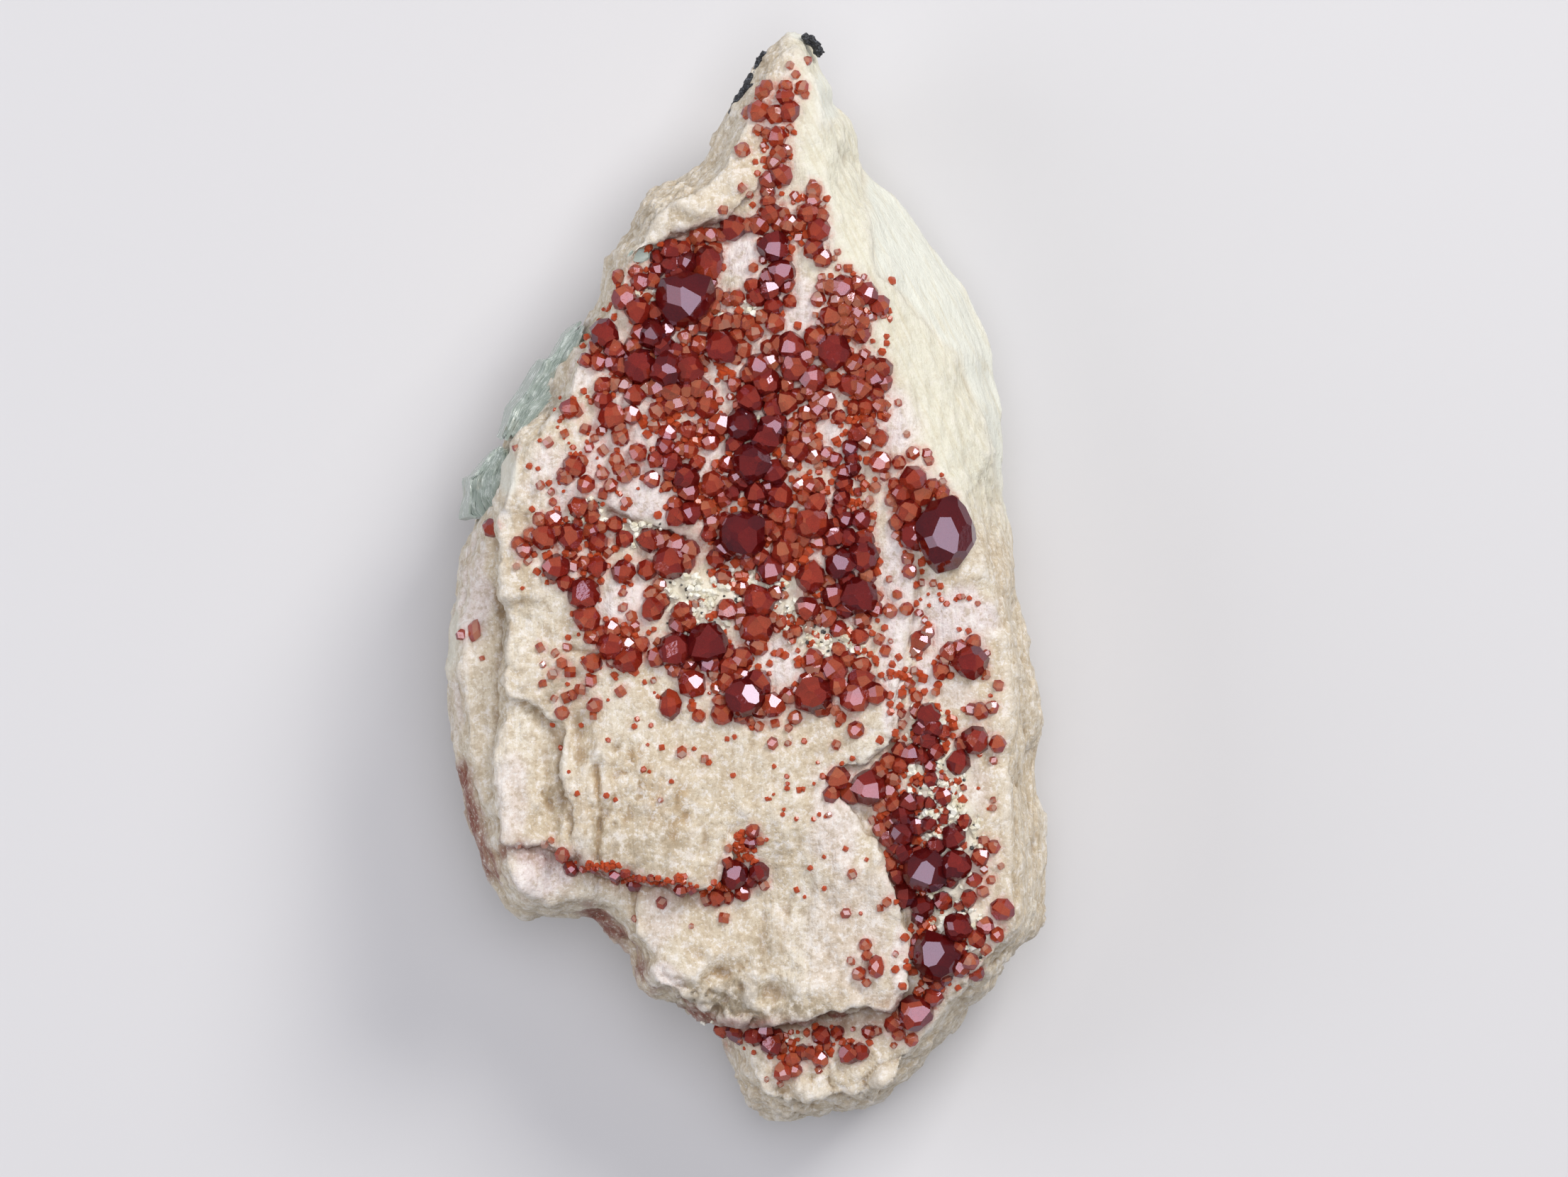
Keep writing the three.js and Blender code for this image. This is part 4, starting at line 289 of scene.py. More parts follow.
# Tiny crystals that fill the ground between the others: x, y, half width and half height of the
# patch, how many, and their least and greatest diameter, all in mm.
SPRINKLES = [
    (1, 20, 12, 14, 190, 0.7, 1.4), (-10, 27, 9, 10, 90, 0.6, 1.3), (-8, 15, 6, 8, 50, 0.6, 1.3),
    (3, 6, 9, 8, 150, 0.6, 1.5), (-1, -10, 11, 8, 100, 0.6, 1.3), (12, -8, 7, 11, 90, 0.6, 1.4),
    (14, 28, 5, 12, 90, 0.6, 1.3), (14, 12, 3, 12, 70, 0.6, 1.2), (22, 8, 4, 7, 50, 0.6, 1.2),
    (22, -26, 6, 18, 170, 0.6, 1.3), (24, -44, 5, 12, 90, 0.6, 1.3), (4, 56, 3, 8, 40, 0.5, 1.0),
    (6, 44, 6, 5, 60, 0.6, 1.3), (-8, 41, 6, 3, 50, 0.6, 1.2), (-21, 4, 8, 6, 90, 0.5, 1.1),
    (-17, -8, 6, 6, 60, 0.5, 1.1), (7.6, -59.5, 8.6, 2.4, 70, 0.5, 1.2),
    (-19, -36.9, 4, 0.6, 26, 0.4, 1.0), (-12, -38.6, 5, 0.6, 32, 0.4, 1.0),
    (-4, -39.8, 4, 1, 30, 0.5, 1.1), (0.2, -35, 1.6, 3.2, 40, 0.5, 1.2),
    (-5, -21, 22, 9, 46, 0.4, 0.9), (8, -32, 9, 14, 34, 0.4, 0.9), (-21, 16, 8, 8, 40, 0.4, 0.9),
    (28, -24, 4, 22, 34, 0.4, 0.9), (24, 0, 6, 8, 30, 0.4, 0.9), (-17, 30, 5, 8, 40, 0.5, 1.0),
]

# Patches of the rock's surface, in mm: x, y, half width, half height and how strong they are.
LILAC_PATCHES = [
    (-18, 12, 9, 6), (-14, 18, 6, 7), (-0.2, 40.6, 3.4, 4.2), (6.8, 33, 2.4, 6), (11.6, 17, 2.4, 4),
    (10, 7, 3, 6), (4.8, -11.2, 3.4, 4), (23.4, -12.6, 1.8, 3), (25, -5, 8, 4), (-15, -4, 4, 4),
    (-26, -38, 4.4, 3.8), (20, 20, 5, 4), (19.5, 0, 2.5, 8), (18.8, -12, 2, 8), (-12, 9.5, 6, 3),
    (13, -45, 8, 9, 0.35), (12, -30, 4, 9, 0.6), (-35.2, -3, 2.8, 12, 0.85),
    (-36.6, -16, 1.6, 5, 0.6), (-4.5, 14, 3, 7), (-3, 24.6, 2.6, 4, 0.8), (-30, -27, 2.4, 5.5, 0.6),
    (27, -15, 3, 2.5, 0.5), (29.5, -27.5, 2, 4, 0.5), (-21.2, 28, 2.6, 6, 0.7),
    (-10, -51, 2.6, 2.2, 0.8), (-11, -44, 2.6, 5, 0.5), (19.6, -49, 1.4, 6, 0.7),
]
FROST_PATCHES = [
    (10.5, 62, 2, 5), (7, 69.3, 1.7, 1.2), (-37.6, -8, 1.5, 6, 0.5), (-30.2, 13.5, 1.5, 3.2, 0.7),
]
# The fold on the upper right, y and x in mm: the rock is smooth and white on its right.
FOLD = [
    (2, 45), (6.9, 33.6), (19.7, 30), (28.4, 26.5), (35.8, 19.7), (38, 16.8), (41.6, 15.9),
    (49.3, 15.1), (54.4, 14.7),
]
OCHRE_PATCHES = [
    (-15, -30, 14, 11, 0.9), (-3, -48, 11, 8, 0.7), (6, -27, 9, 9, 0.5), (-9, 48, 8, 5, 0.5),
    (14, 46, 4.5, 11, 0.5), (20, 30, 5, 9, 0.5), (34, -20, 4.5, 30, 0.55), (8, -66, 14, 5, 0.5),
    # The patch at x -30, y -6.5 is iron stain and also painted shade in a recess.
    (-29, 0, 3, 8, 0.4), (-30, -6.5, 1.4, 4, 0.9), (-26, -14, 5, 6, 0.5), (-27, -16.4, 3, 1.2, 0.8),
    (-1, -53.5, 6, 3, 1.0), (4, -55.5, 7, 1.6, 1.0), (-20, -20, 2.4, 7, 0.8),
    (31, -46, 6, 10, 0.5), (-33, -30, 4, 10, 0.4), (28, 7, 2, 5, 0.4), (-26.5, 17.5, 3, 4, 0.35),
    (2, 65, 4, 4, 0.4),
]
CRUST_PATCHES = [
    (-8, -2.4, 4.4, 3.2), (-2.4, -1.6, 4.6, 2.8), (-6, -6, 4, 2), (1.5, 12, 1.6, 3),
    (2.4, -1, 4, 2), (8.5, -6.8, 4, 2.4), (12, -9, 3.8, 2.8), (5.5, -4.6, 3, 2),
    (24.4, -26.5, 3.6, 5), (26, -33, 4.4, 5.5), (25.4, -40, 3.8, 5), (28, -46, 3.2, 4),
    (23, -20, 2.4, 4), (-20, 8, 2.4, 2.2), (0.4, 16.2, 2, 3), (-13, 5.4, 3.2, 2),
    (1.6, 18, 1, 2.4), (-4, 32.8, 1.2, 1.5, 0.6),
    (0.4, 33.8, 1.6, 1.2, 0.7), (-11.8, 36.4, 2.2, 1.2, 0.6), (-7.8, 38.2, 0.8, 0.6),
    (-4.2, -57.4, 1.8, 0.8, 0.4), (5, -59, 2.4, 0.9, 0.4),
]
# Grey-brown patches in the rotted hollows: painted shade, with some dirt.
SHADE_AND_DIRT_PATCHES = [
    (-1, -53.6, 6.5, 3.2), (5, -55.8, 8, 1.6), (-7, -54.5, 4, 1.6, 0.8), (-14, -34.4, 8, 3, 0.5),
    (-24, -22, 1.6, 10, 0.6), (-30.4, -6, 1.2, 5, 0.7), (2, -48, 3, 3, 0.4),
    (-27, -17, 3, 1.4, 0.6), (-9, 45.5, 7, 2, 0.5), (-24.6, 22.8, 1.8, 2.2, 0.7),
]
ROUGH_PATCHES = [
    (-17, -28, 9, 9, 1.0), (-7, -32, 7, 6, 0.6), (-2, -52, 10, 5, 1.0), (8, -66, 13, 4, 0.9),
    (-9, 47, 7, 4.5, 0.7), (9, -50, 9, 5, 0.6), (-27, -12, 4, 8, 0.4), (2, -40, 8, 8, 0.3),
    (31, -50, 5, 6, 0.8), (5, 66, 5, 5, 0.4),
]
# The veins, where garnet is darkest.
DARK_PATCHES = [
    (1, 15, 4, 11), (13, 6, 2.5, 18), (24, -35, 6, 20), (25.2, 5.4, 4, 5), (-9, 37, 5, 6, 0.7),
    (-10.7, 29, 3.4, 3.4, 0.7), (-6, -9, 5, 4, 0.5), (0, -15, 3, 3, 0.5), (-1.5, 4.5, 5, 3, 0.6),
    (-12, -38.4, 16, 3.4, 0.9), (0, -37, 3, 5, 0.9), (6, -59, 14, 3, 0.6), (3.6, 38, 4, 5, 0.5),
    (-16, 30, 6, 6, 0.3), (-8, 14, 4, 8, 0.4), (-19, 3, 8, 8, 0.3),
]
# Rounded hollows and swellings of the rock, in mm: x, y, half width, half height, height.
SCOOPS = [
    (-21.5, -21, 3.2, 8, -1.3), (-17.5, -31, 4, 4, -0.9), (-10, -26, 4.5, 6, 0.9),
    (-27, -26, 2.6, 7, 0.5), (-3, -50.5, 3, 2.6, -1.3), (3.5, -53, 3.2, 2.4, -1.6),
    (-7.5, -53, 3, 2.4, -0.9), (9, -52.5, 4, 2.4, 0.7), (18.3, -64, 3.4, 3.2, 1.5),
    (9, -66, 3.6, 2.6, 1.1), (2.5, -66.5, 2.6, 2.4, 0.8), (14, -66.6, 2.4, 2, 0.6),
    (-6, 47.5, 4.5, 2.6, 0.9), (-12.5, 44.6, 3, 2.2, 0.5), (-1, 50.2, 2.6, 2.2, 0.6),
    (-15, -45.5, 3, 3, 0.4), (20, 40, 5, 8, 0.5), (27, 28, 4, 8, 0.4), (-30, -39, 5, 3.4, 0.6),
]
# Ledges across the face, where the rock keeps its sharp edges, in mm.
LEDGES = [
    [(-33.6, -36.5), (-31.4, -33.5), (-31.2, -25), (-30.6, -15), (-30.4, -4.2), (-31.3, -2.6),
     (-31, 4), (-32.4, 9.4)],
    [(-22.2, -36), (-22.2, -31), (-23, -26.4), (-23.4, -21.6), (-24.6, -18.2), (-26.8, -16.4),
     (-29.6, -15.6)],
    [(-26.6, -2.4), (-28.6, -3.2), (-30.8, -2.6)],
    [(-25.5, 7.4), (-28.6, 8.2), (-32.2, 9.5)],
    [(0.2, -30.2), (-1.6, -32.6), (-2.5, -36), (-3.4, -39.4), (-7.8, -39.6), (-12.2, -38.6),
     (-15.6, -37.8), (-19.8, -36.9), (-22.4, -35.6), (-25.8, -34.2), (-30.2, -34)],
    [(-14.6, -49.5), (-14.2, -45), (-14.2, -40.2)],
    [(23, 1.8), (22.2, -5.6), (20.8, -12), (19, -20), (15.6, -23.6), (11.4, -24.2), (10.2, -27.6),
     (14.6, -30.2), (16.6, -33.4), (18.4, -38.4), (20.2, -42.6), (20.8, -47.6), (20.2, -52.2),
     (18.6, -55.6), (14, -55.4), (10.8, -56), (7.6, -57.2), (3.6, -57.6), (-0.4, -56.8),
     (-4.2, -56.2), (-8.6, -54.6)],
    [(-5.4, 4.6), (-8.8, 5.4), (-13.2, 6.9), (-18.6, 9.2), (-22.8, 11)],
    [(4.4, 52.6), (1.6, 49), (-1.2, 46.2), (-5.2, 44.6), (-9.4, 43.4), (-13.4, 41.2),
     (-17.4, 40.8)],
]
# Lines that garnet dust has stained red-brown, and open cracks, in mm.
RUSSET_LINES = [
    [(-36.2, -25), (-34.6, -32), (-33.2, -38)],
    [(-19, -43.6), (-16.6, -46.4), (-14.4, -50)],
    [(-12, -55.4), (-8, -56.6), (-4, -60)],
    [(-6, 4.2), (-13, 6.2), (-18, 8.6)],
    [(-2.6, -37), (-4, -40.6), (-14, -39.4), (-23, -36.2), (-30, -34.6)],
    [(-7, -56.4), (0, -57.8), (8, -57.6), (16, -56.6), (20, -54)],
    [(-8.6, 42.2), (-5.6, 43.2), (-2.8, 44.6)],
]
CRACKS = [
    [(-22.5, -9.2), (-18, -10.2)],
    [(21, -61.5), (17, -62.4), (15, -64.5), (16.5, -66.8)],
    [(22.4, 0.4), (21.4, -7), (19.9, -15), (18.6, -22.5)],
    [(-18.8, -36.6), (-18.4, -30), (-19, -24)],
    [(14.2, 62.8), (12.6, 58.5), (13.4, 53)],
    [(-14.2, -40.4), (-14.3, -45), (-14.5, -49)],
]


def colour_property(name, description, default):
    """A colour that a user can change."""
    return bpy.props.FloatVectorProperty(
        name=name, description=description, subtype="COLOR", default=default, min=0.0, max=1.0,
    )


class RockSettings(bpy.types.PropertyGroup):
    """Sizes and colours of the feldspar."""

    voxel: bpy.props.FloatProperty(
        name="Detail", description="Edge of the finest facet", default=0.44 * MM, min=0.2 * MM,
        unit="LENGTH",
    )
    striation: bpy.props.FloatProperty(
        name="Striation", description="Height of the fine ribs along the block, in mm",
        default=0.09, min=0.0, max=1.0,
    )
    weathering: bpy.props.FloatProperty(
        name="Weathering", description="Height of the lumps in the rotted patches, in mm",
        default=0.6, min=0.0, max=2.0,
    )
    cream: colour_property("Cream", "Main colour of the feldspar", (0.62, 0.52, 0.37))
    lilac: colour_property("Pink white", "Fresh cleavage faces", (0.78, 0.69, 0.69))
    frost: colour_property("Frost white", "The smooth upper right flank", (0.79, 0.82, 0.74))
    ochre: colour_property("Ochre", "Iron stain in the rotted patches", (0.52, 0.37, 0.20))
    russet: colour_property("Russet", "Garnet dust on the broken walls", (0.22, 0.06, 0.035))
    crust: colour_property("Crust", "The pale crust between the crystals", (0.76, 0.72, 0.58))


class GarnetSettings(bpy.types.PropertyGroup):
    """Shape and finish of the garnet crystals."""

    seed: bpy.props.IntProperty(
        name="Seed", description="Turns the crystals another way", default=7
    )
    density: bpy.props.FloatProperty(
        name="Absorption", description="How fast the crystals swallow light, per metre",
        default=90.0, min=0.0,
    )
    rise: bpy.props.FloatProperty(
        name="Rise", description="Height of a crystal's middle over the rock, in diameters",
        default=0.14, min=-0.4, max=0.5,
    )
    facet_tilt: bpy.props.FloatProperty(
        name="Facet tilt", description="How far the foremost facets may lean from the front",
        default=math.radians(17), subtype="ANGLE",
    )


class MicaSettings(bpy.types.PropertyGroup):
    """The mica books on the left flank."""

    sheets: bpy.props.IntProperty(name="Sheets", description="Sheets in a book", default=16, min=2)
    lean: bpy.props.FloatProperty(
        name="Lean", description="How far the leaves lean back, as a share of the book's width",
        default=0.35, min=0.0, max=1.0,
    )
    colour: colour_property("Colour", "Tint of the sheets", (0.43, 0.50, 0.44))


class StageSettings(bpy.types.PropertyGroup):
    """Camera, light and floor."""

    camera_distance: bpy.props.FloatProperty(
        name="Camera distance", description="From the garnet face", default=2.4, min=0.3,
        unit="LENGTH",
    )
    view_width: bpy.props.FloatProperty(
        name="View width", description="Width of the picture at the garnet face",
        default=199.1 * MM, min=0.01, unit="LENGTH",
    )
    view_centre: bpy.props.FloatVectorProperty(
        name="View centre", description="Middle of the picture on the garnet face", size=2,
        default=(5.0 * MM, -1.6 * MM), subtype="TRANSLATION", unit="LENGTH",
    )
    floor: colour_property("Floor", "Colour of the floor", (0.66, 0.66, 0.67))


SETTINGS = {
    "specimen_rock": RockSettings,
    "specimen_garnet": GarnetSettings,
    "specimen_mica": MicaSettings,
    "specimen_stage": StageSettings,
}


class Value:
    """A socket of a shader, on which Python's operators add Math nodes."""

    def __init__(self, shader, socket):
        self.shader = shader
        self.socket = socket

    def _math(self, operation, first, second):
        return self.shader.node("ShaderNodeMath", {"operation": operation}, {0: first, 1: second})

    def __add__(self, other):
        return self._math("ADD", self, other)

    def __radd__(self, other):
        return self._math("ADD", other, self)

    def __sub__(self, other):
        return self._math("SUBTRACT", self, other)

    def __rsub__(self, other):
        return self._math("SUBTRACT", other, self)

    def __mul__(self, other):
        return self._math("MULTIPLY", self, other)

    def __rmul__(self, other):
        return self._math("MULTIPLY", other, self)

    def between(self, low, high):
        """0 under low, 1 over high and a smooth rise between them."""
        return self.shader.node(
            "ShaderNodeMapRange", {"interpolation_type": "SMOOTHSTEP"}, {0: self, 1: low, 2: high}
        )


class Shader:
    """A material whose nodes are added by code."""

    def __init__(self, name):
        self.material = bpy.data.materials.new(name)
        self.material.use_nodes = True
        self.tree = self.material.node_tree
        self.tree.nodes.clear()
        self.output = self.tree.nodes.new("ShaderNodeOutputMaterial")

    def node(self, kind, settings=None, inputs=None, output=0):
        """Adds a node, sets it up, feeds its sockets and gives one of its outputs."""
        made = self.tree.nodes.new(kind)
        for key, setting in (settings or {}).items():
            if key == "stops":
                while len(made.color_ramp.elements) < len(setting):
                    made.color_ramp.elements.new(1.0)
                for element, (position, colour) in zip(made.color_ramp.elements, setting):
                    element.position = position
                    element.color = (*colour, 1.0)
            else:
                setattr(made, key, setting)
        for key, given in (inputs or {}).items():
            if isinstance(given, Value):
                self.tree.links.new(given.socket, made.inputs[key])
            else:
                made.inputs[key].default_value = given
        return Value(self, made.outputs[output])

    def attribute(self, name):
        return self.node("ShaderNodeAttribute", {"attribute_name": name}, output="Fac")

    def noise(self, size, detail=3.0, stretch=(1, 1, 1), roughness=0.55, turn=0.0):
        """Noise from 0 to 1 whose largest blobs are about size millimetres across."""
        coordinates = self.node("ShaderNodeTexCoord", output="Object")
        scale = [MM * s * size for s in stretch]
        mapped = self.node(
            "ShaderNodeMapping", {"vector_type": "TEXTURE"},
            {"Vector": coordinates, "Rotation": (0, 0, turn), "Scale": scale},
        )
        return self.node(
            "ShaderNodeTexNoise",
            inputs={"Vector": mapped, "Scale": 1.0, "Detail": detail, "Roughness": roughness},
        )

    def mix(self, factor, first, second):
        """A colour between two others."""
        colours = [c if isinstance(c, Value) else (*c, 1.0)[:4] for c in (first, second)]
        return self.node(
            "ShaderNodeMix", {"data_type": "RGBA"}, {0: factor, 6: colours[0], 7: colours[1]},
            output=2,
        )

    def ramp(self, factor, stops):
        """The colour at this share of the way along the stops."""
        return self.node("ShaderNodeValToRGB", {"stops": stops}, {0: factor})

    def bump(self, height, strength, distance):
        return self.node(
            "ShaderNodeBump",
            inputs={"Height": height, "Strength": strength, "Distance": distance},
        )

    def finish(self, **inputs):
        """The Principled surface that takes these inputs, spaces written as underscores."""
        named = {key.replace("_", " "): value for key, value in inputs.items()}
        surface = self.node("ShaderNodeBsdfPrincipled", inputs=named)
        self.tree.links.new(surface.socket, self.output.inputs["Surface"])
        return self.material


def smooth(low, high, values):
    """0 under low, 1 over high and a smooth rise between them."""
    t = np.clip((values - low) / (high - low), 0, 1)
    return t * t * (3 - 2 * t)


# Large odd numbers that scatter a lattice corner's place and seed over all heights.
SCATTER_PLACE = (73856093, 19349663, 83492791)
SCATTER_SEED = 9973
SCATTER_AGAIN = 1274126177


def lattice_noise(places, spacing, seed):
    """Smooth noise from -1 to 1 at each place, on a lattice of this spacing along x, y and z."""
    scaled = places / np.asarray(spacing, float) + 31.7 * seed
    cell = np.floor(scaled).astype(np.int64)
    share = smooth(0, 1, scaled - cell)
    total = np.zeros(len(places))
    for corner in np.ndindex(2, 2, 2):
        mixed = np.bitwise_xor.reduce((cell + corner) * SCATTER_PLACE, axis=1)
        mixed ^= seed * SCATTER_SEED
        mixed = ((mixed ^ (mixed >> 13)) * SCATTER_AGAIN) & 0xFFFFFFFF
        height = ((mixed ^ (mixed >> 16)) & 0xFFFF) / 32767.5 - 1
        total += height * np.prod(np.where(corner, share, 1 - share), axis=1)
    return total


def layered_noise(places, spacing, layers, seed):
    """Noise with finer and weaker layers on top of the first."""
    spacing = np.asarray(spacing, float)
    return sum(
        0.55**k * lattice_noise(places, spacing / 2**k, seed + 3 * k) for k in range(layers)
    )


def turned_places(places, degrees):
    """The places turned about Z, for noise with a slanting grain."""
    cosine, sine = math.cos(math.radians(degrees)), math.sin(math.radians(degrees))
    return places @ np.array([[cosine, sine, 0], [-sine, cosine, 0], [0, 0, 1]])


def oval_distance(places, x, y, half_width, half_height):
    """Distance of each place from an oval's middle, 1 on its rim, seen from the front."""
    return np.hypot((places[:, 0] - x) / half_width, (places[:, 1] - y) / half_height)


def patch_cover(places, patches, ragged=0.35):
    """How far each place lies inside the nearest patch, from 0 to 1, with ragged borders."""
    wander = ragged * layered_noise(places, (3, 5, 5), 3, 41)
    cover = np.zeros(len(places))
    for *oval, strength in (patch if len(patch) > 4 else (*patch, 1.0) for patch in patches):
        off = oval_distance(places, *oval) + wander
        cover = np.maximum(cover, strength * (1 - smooth(0.6, 1.15, off)))
    return cover


def beyond_fold(places):
    """Distance in x from the fold to each place, in mm, positive on the smooth side."""
    wander = 0.4 * lattice_noise(places, (2, 3, 2), 71)
    return places[:, 0] - np.interp(places[:, 1], *zip(*FOLD)) + wander


def upper_flank(places):
    """1 near the face, 0 low on the flanks, with a ragged border between them."""
    return smooth(10, 21, places[:, 2] + 5 * layered_noise(places, (6, 6, 5), 3, 43))


def frost_cover(places):
    """How smooth and white the rock is at each place, from 0 to 1."""
    patches = patch_cover(places, FROST_PATCHES, 0.2) * upper_flank(places)
    return np.maximum(patches, smooth(-0.6, 1.2, beyond_fold(places)))


def line_distance(places, lines):
    """Distance in x and y from each place to the nearest of these lines."""
    flat = places[:, :2]
    best = np.full(len(places), np.inf)
    for line in lines:
        for start, end in zip(line, line[1:]):
            start, way = np.array(start), np.subtract(end, start)
            share = np.clip(((flat - start) @ way) / (way @ way), 0, 1)
            best = np.minimum(best, np.linalg.norm(flat - start - share[:, None] * way, axis=1))
    return best


COVER_CELL = 0.25  # edge of a cell of the cover grid, in mm
COVER_CORNER = (-45, -75)  # its lowest x and y, in mm
COVER_CELLS = (360, 600)


def crystal_cover(places, spread):
    """Share of the ground that crystals cover within about spread millimetres of each place."""
    grid = np.zeros(COVER_CELLS)
    left, low = COVER_CORNER
    for x, y, diameter, *_length in (crystal for group in CRYSTALS.values() for crystal in group):
        column, row = (x - left) / COVER_CELL, (y - low) / COVER_CELL
        reach = diameter / 2 / COVER_CELL
        columns = np.arange(int(column - reach), int(column + reach) + 2)
        rows = np.arange(int(row - reach), int(row + reach) + 2)
        inside = (columns[:, None] - column) ** 2 + (rows - row) ** 2 < reach**2
        grid[np.ix_(columns, rows)] = np.maximum(grid[np.ix_(columns, rows)], inside)
    width = max(1, round(spread / COVER_CELL / 1.7))
    kernel = np.ones(2 * width + 1) / (2 * width + 1)
    for axis in (0, 1, 0, 1):
        grid = np.apply_along_axis(np.convolve, axis, grid, kernel, "same")
    cells = ((places[:, :2] - COVER_CORNER) / COVER_CELL).astype(int)
    return grid[tuple(np.clip(cells, 0, np.subtract(COVER_CELLS, 1)).T)]


def add_primitive(operator, **settings):
    """Adds a primitive with nothing else selected and gives its object."""
    bpy.ops.object.select_all(action="DESELECT")
    operator(**settings)
    return bpy.context.object


def link_new(name, data):
    """A new object in the scene with this mesh, camera or light."""
    made = bpy.data.objects.new(name, data)
    bpy.context.scene.collection.objects.link(made)
    return made


def activate(piece):
    """Makes the piece the only selected object and the active one."""
    bpy.ops.object.select_all(action="DESELECT")
    piece.select_set(True)
    bpy.context.view_layer.objects.active = piece


def apply_modifier(piece, kind, **settings):
    """Adds a modifier with these settings and applies it."""
    activate(piece)
    made = piece.modifiers.new(kind.title(), kind)
    for key, setting in settings.items():
        setattr(made, key, setting)
    bpy.ops.object.modifier_apply(modifier=made.name)


def join(pieces, name):
    """Joins the pieces in the first one, which takes this name."""
    activate(pieces[0])
    for piece in pieces:
        piece.select_set(True)
    bpy.ops.object.join()
    pieces[0].name = pieces[0].data.name = name
    return pieces[0]


def hand_in(piece, material, replaced=()):
    """Gives a finished piece its material and its body, and hides the solids it stands for."""
    piece.data.materials.clear()
    piece.data.materials.append(material)
    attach(piece, "root")
    if replaced:
        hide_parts(*replaced)


def nodes_named(start):
    """The solids whose names start like this, of which there must be some."""
    found = [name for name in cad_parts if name.startswith(start)]
    if not found:
        raise RuntimeError(f"no solid is named {start}...")
    return found


def mesh_places(mesh):
    """The vertices and their normals, places in millimetres."""
    places, normals = np.empty((2, len(mesh.vertices) * 3))
    mesh.vertices.foreach_get("co", places)
    mesh.vertices.foreach_get("normal", normals)
    return places.reshape(-1, 3) / MM, normals.reshape(-1, 3)


def set_places(mesh, places):
    """Moves the vertices to these places, in millimetres."""
    mesh.vertices.foreach_set("co", (places * MM).ravel())
    mesh.update()


def neighbour_mean(mesh, places, rounds, weight=1.0):
    """The places after each has moved towards the mean of its neighbours, several times over."""
    edges = np.empty(len(mesh.edges) * 2, np.int64)
    mesh.edges.foreach_get("vertices", edges)
    edges = edges.reshape(-1, 2)
    near, far = np.concatenate([edges, edges[:, ::-1]]).T
    count = np.bincount(near, minlength=len(places))
    share = np.asarray(weight, float).reshape(-1, 1)
    for _ in range(rounds):
        means = [np.bincount(near, axis[far], len(places)) / count for axis in places.T]
        places = places + share * (np.stack(means, axis=1) - places)
    return places


def store(mesh, name, values, domain="POINT"):
    """Keeps one number for each vertex or face, which the material reads."""
    layer = mesh.attributes.new(name, "FLOAT", domain)
    layer.data.foreach_set("value", np.clip(values, 0, 1).astype(np.float32))


def broken_steps(noise, sharpness=0.12):
    """Turns smooth noise into flat treads and short risers, as a mineral cleaves."""
    whole = np.floor(noise)
    return whole + smooth(0.5 - sharpness, 0.5 + sharpness, noise - whole)


def shape_rock(places, normals, settings):
    """Moves the rock's surface: hollows, cleavage steps, ribs, rotted lumps and cracks."""

    def noise(*pattern, turn=0):
        return layered_noise(turned_places(places, turn) if turn else places, *pattern)

    facing = smooth(0.3, 0.8, normals[:, 2])
    flank = 1 - smooth(0.25, 0.75, np.abs(normals[:, 2]))
    rough = patch_cover(places, ROUGH_PATCHES)
    frost = frost_cover(places)
    calm = 1 - 0.8 * frost
    face, side = facing * calm, flank * calm
    beyond = beyond_fold(places)
    fall = smooth(0, 0.6, beyond) * (1 - smooth(1.5, 7, beyond))
    ledge = np.exp(-((line_distance(places, LEDGES) / 1.1) ** 2))
    crust = patch_cover(places, CRUST_PATCHES)
    crack = line_distance(places, CRACKS) + 0.15 * lattice_noise(places, (2.5, 2.5, 2.5), 33)
    lift = np.zeros(len(places))
    for *oval, height in SCOOPS:
        lift += facing * height * (1 - smooth(0, 1, oval_distance(places, *oval)))
    relief = {
        "ribs": face * settings.striation * noise((0.9, 15, 8), 3, 1),
        "cleavage steps": face * 0.20 * broken_steps(2.4 * noise((6.5, 24, 14), 2, 5)),
        "grain": face * 0.22 * noise((1.7, 2.4, 1.7), 3, 21),
        "white steps": frost * 0.30 * broken_steps(1.6 * noise((4, 30, 14), 2, 45, turn=-26), 0.2),
        "white ribs": frost * 0.10 * noise((1.1, 9, 5), 3, 47, turn=-26),
        "fall beyond the fold": -0.5 * fall * smooth(28, 38, places[:, 1]),
        "rotted lumps": settings.weathering * rough * noise((2.0, 2.4, 2.0), 4, 9),
        "pits": -rough * 0.4 * smooth(0.35, 0.8, noise((1.0, 1.3, 1.0), 2, 12)),
        "flank ribs": side * 0.35 * noise((2.2, 13, 4), 3, 14),
        "flank steps": side * 0.40 * broken_steps(2.2 * noise((5, 8, 6), 3, 17)),
        "worn ledges": ledge * (1 - frost) * 0.35 * noise((1.7, 1.7, 1.7), 3, 51),
        "crust": facing * crust * (0.15 + 0.3 * noise((0.9, 0.9, 0.9), 2, 27)),
        "cracks": -facing * 0.7 * (1 - smooth(0.12, 0.62, crack)),
    }
    return places + normals * sum(relief.values(), lift)[:, None]


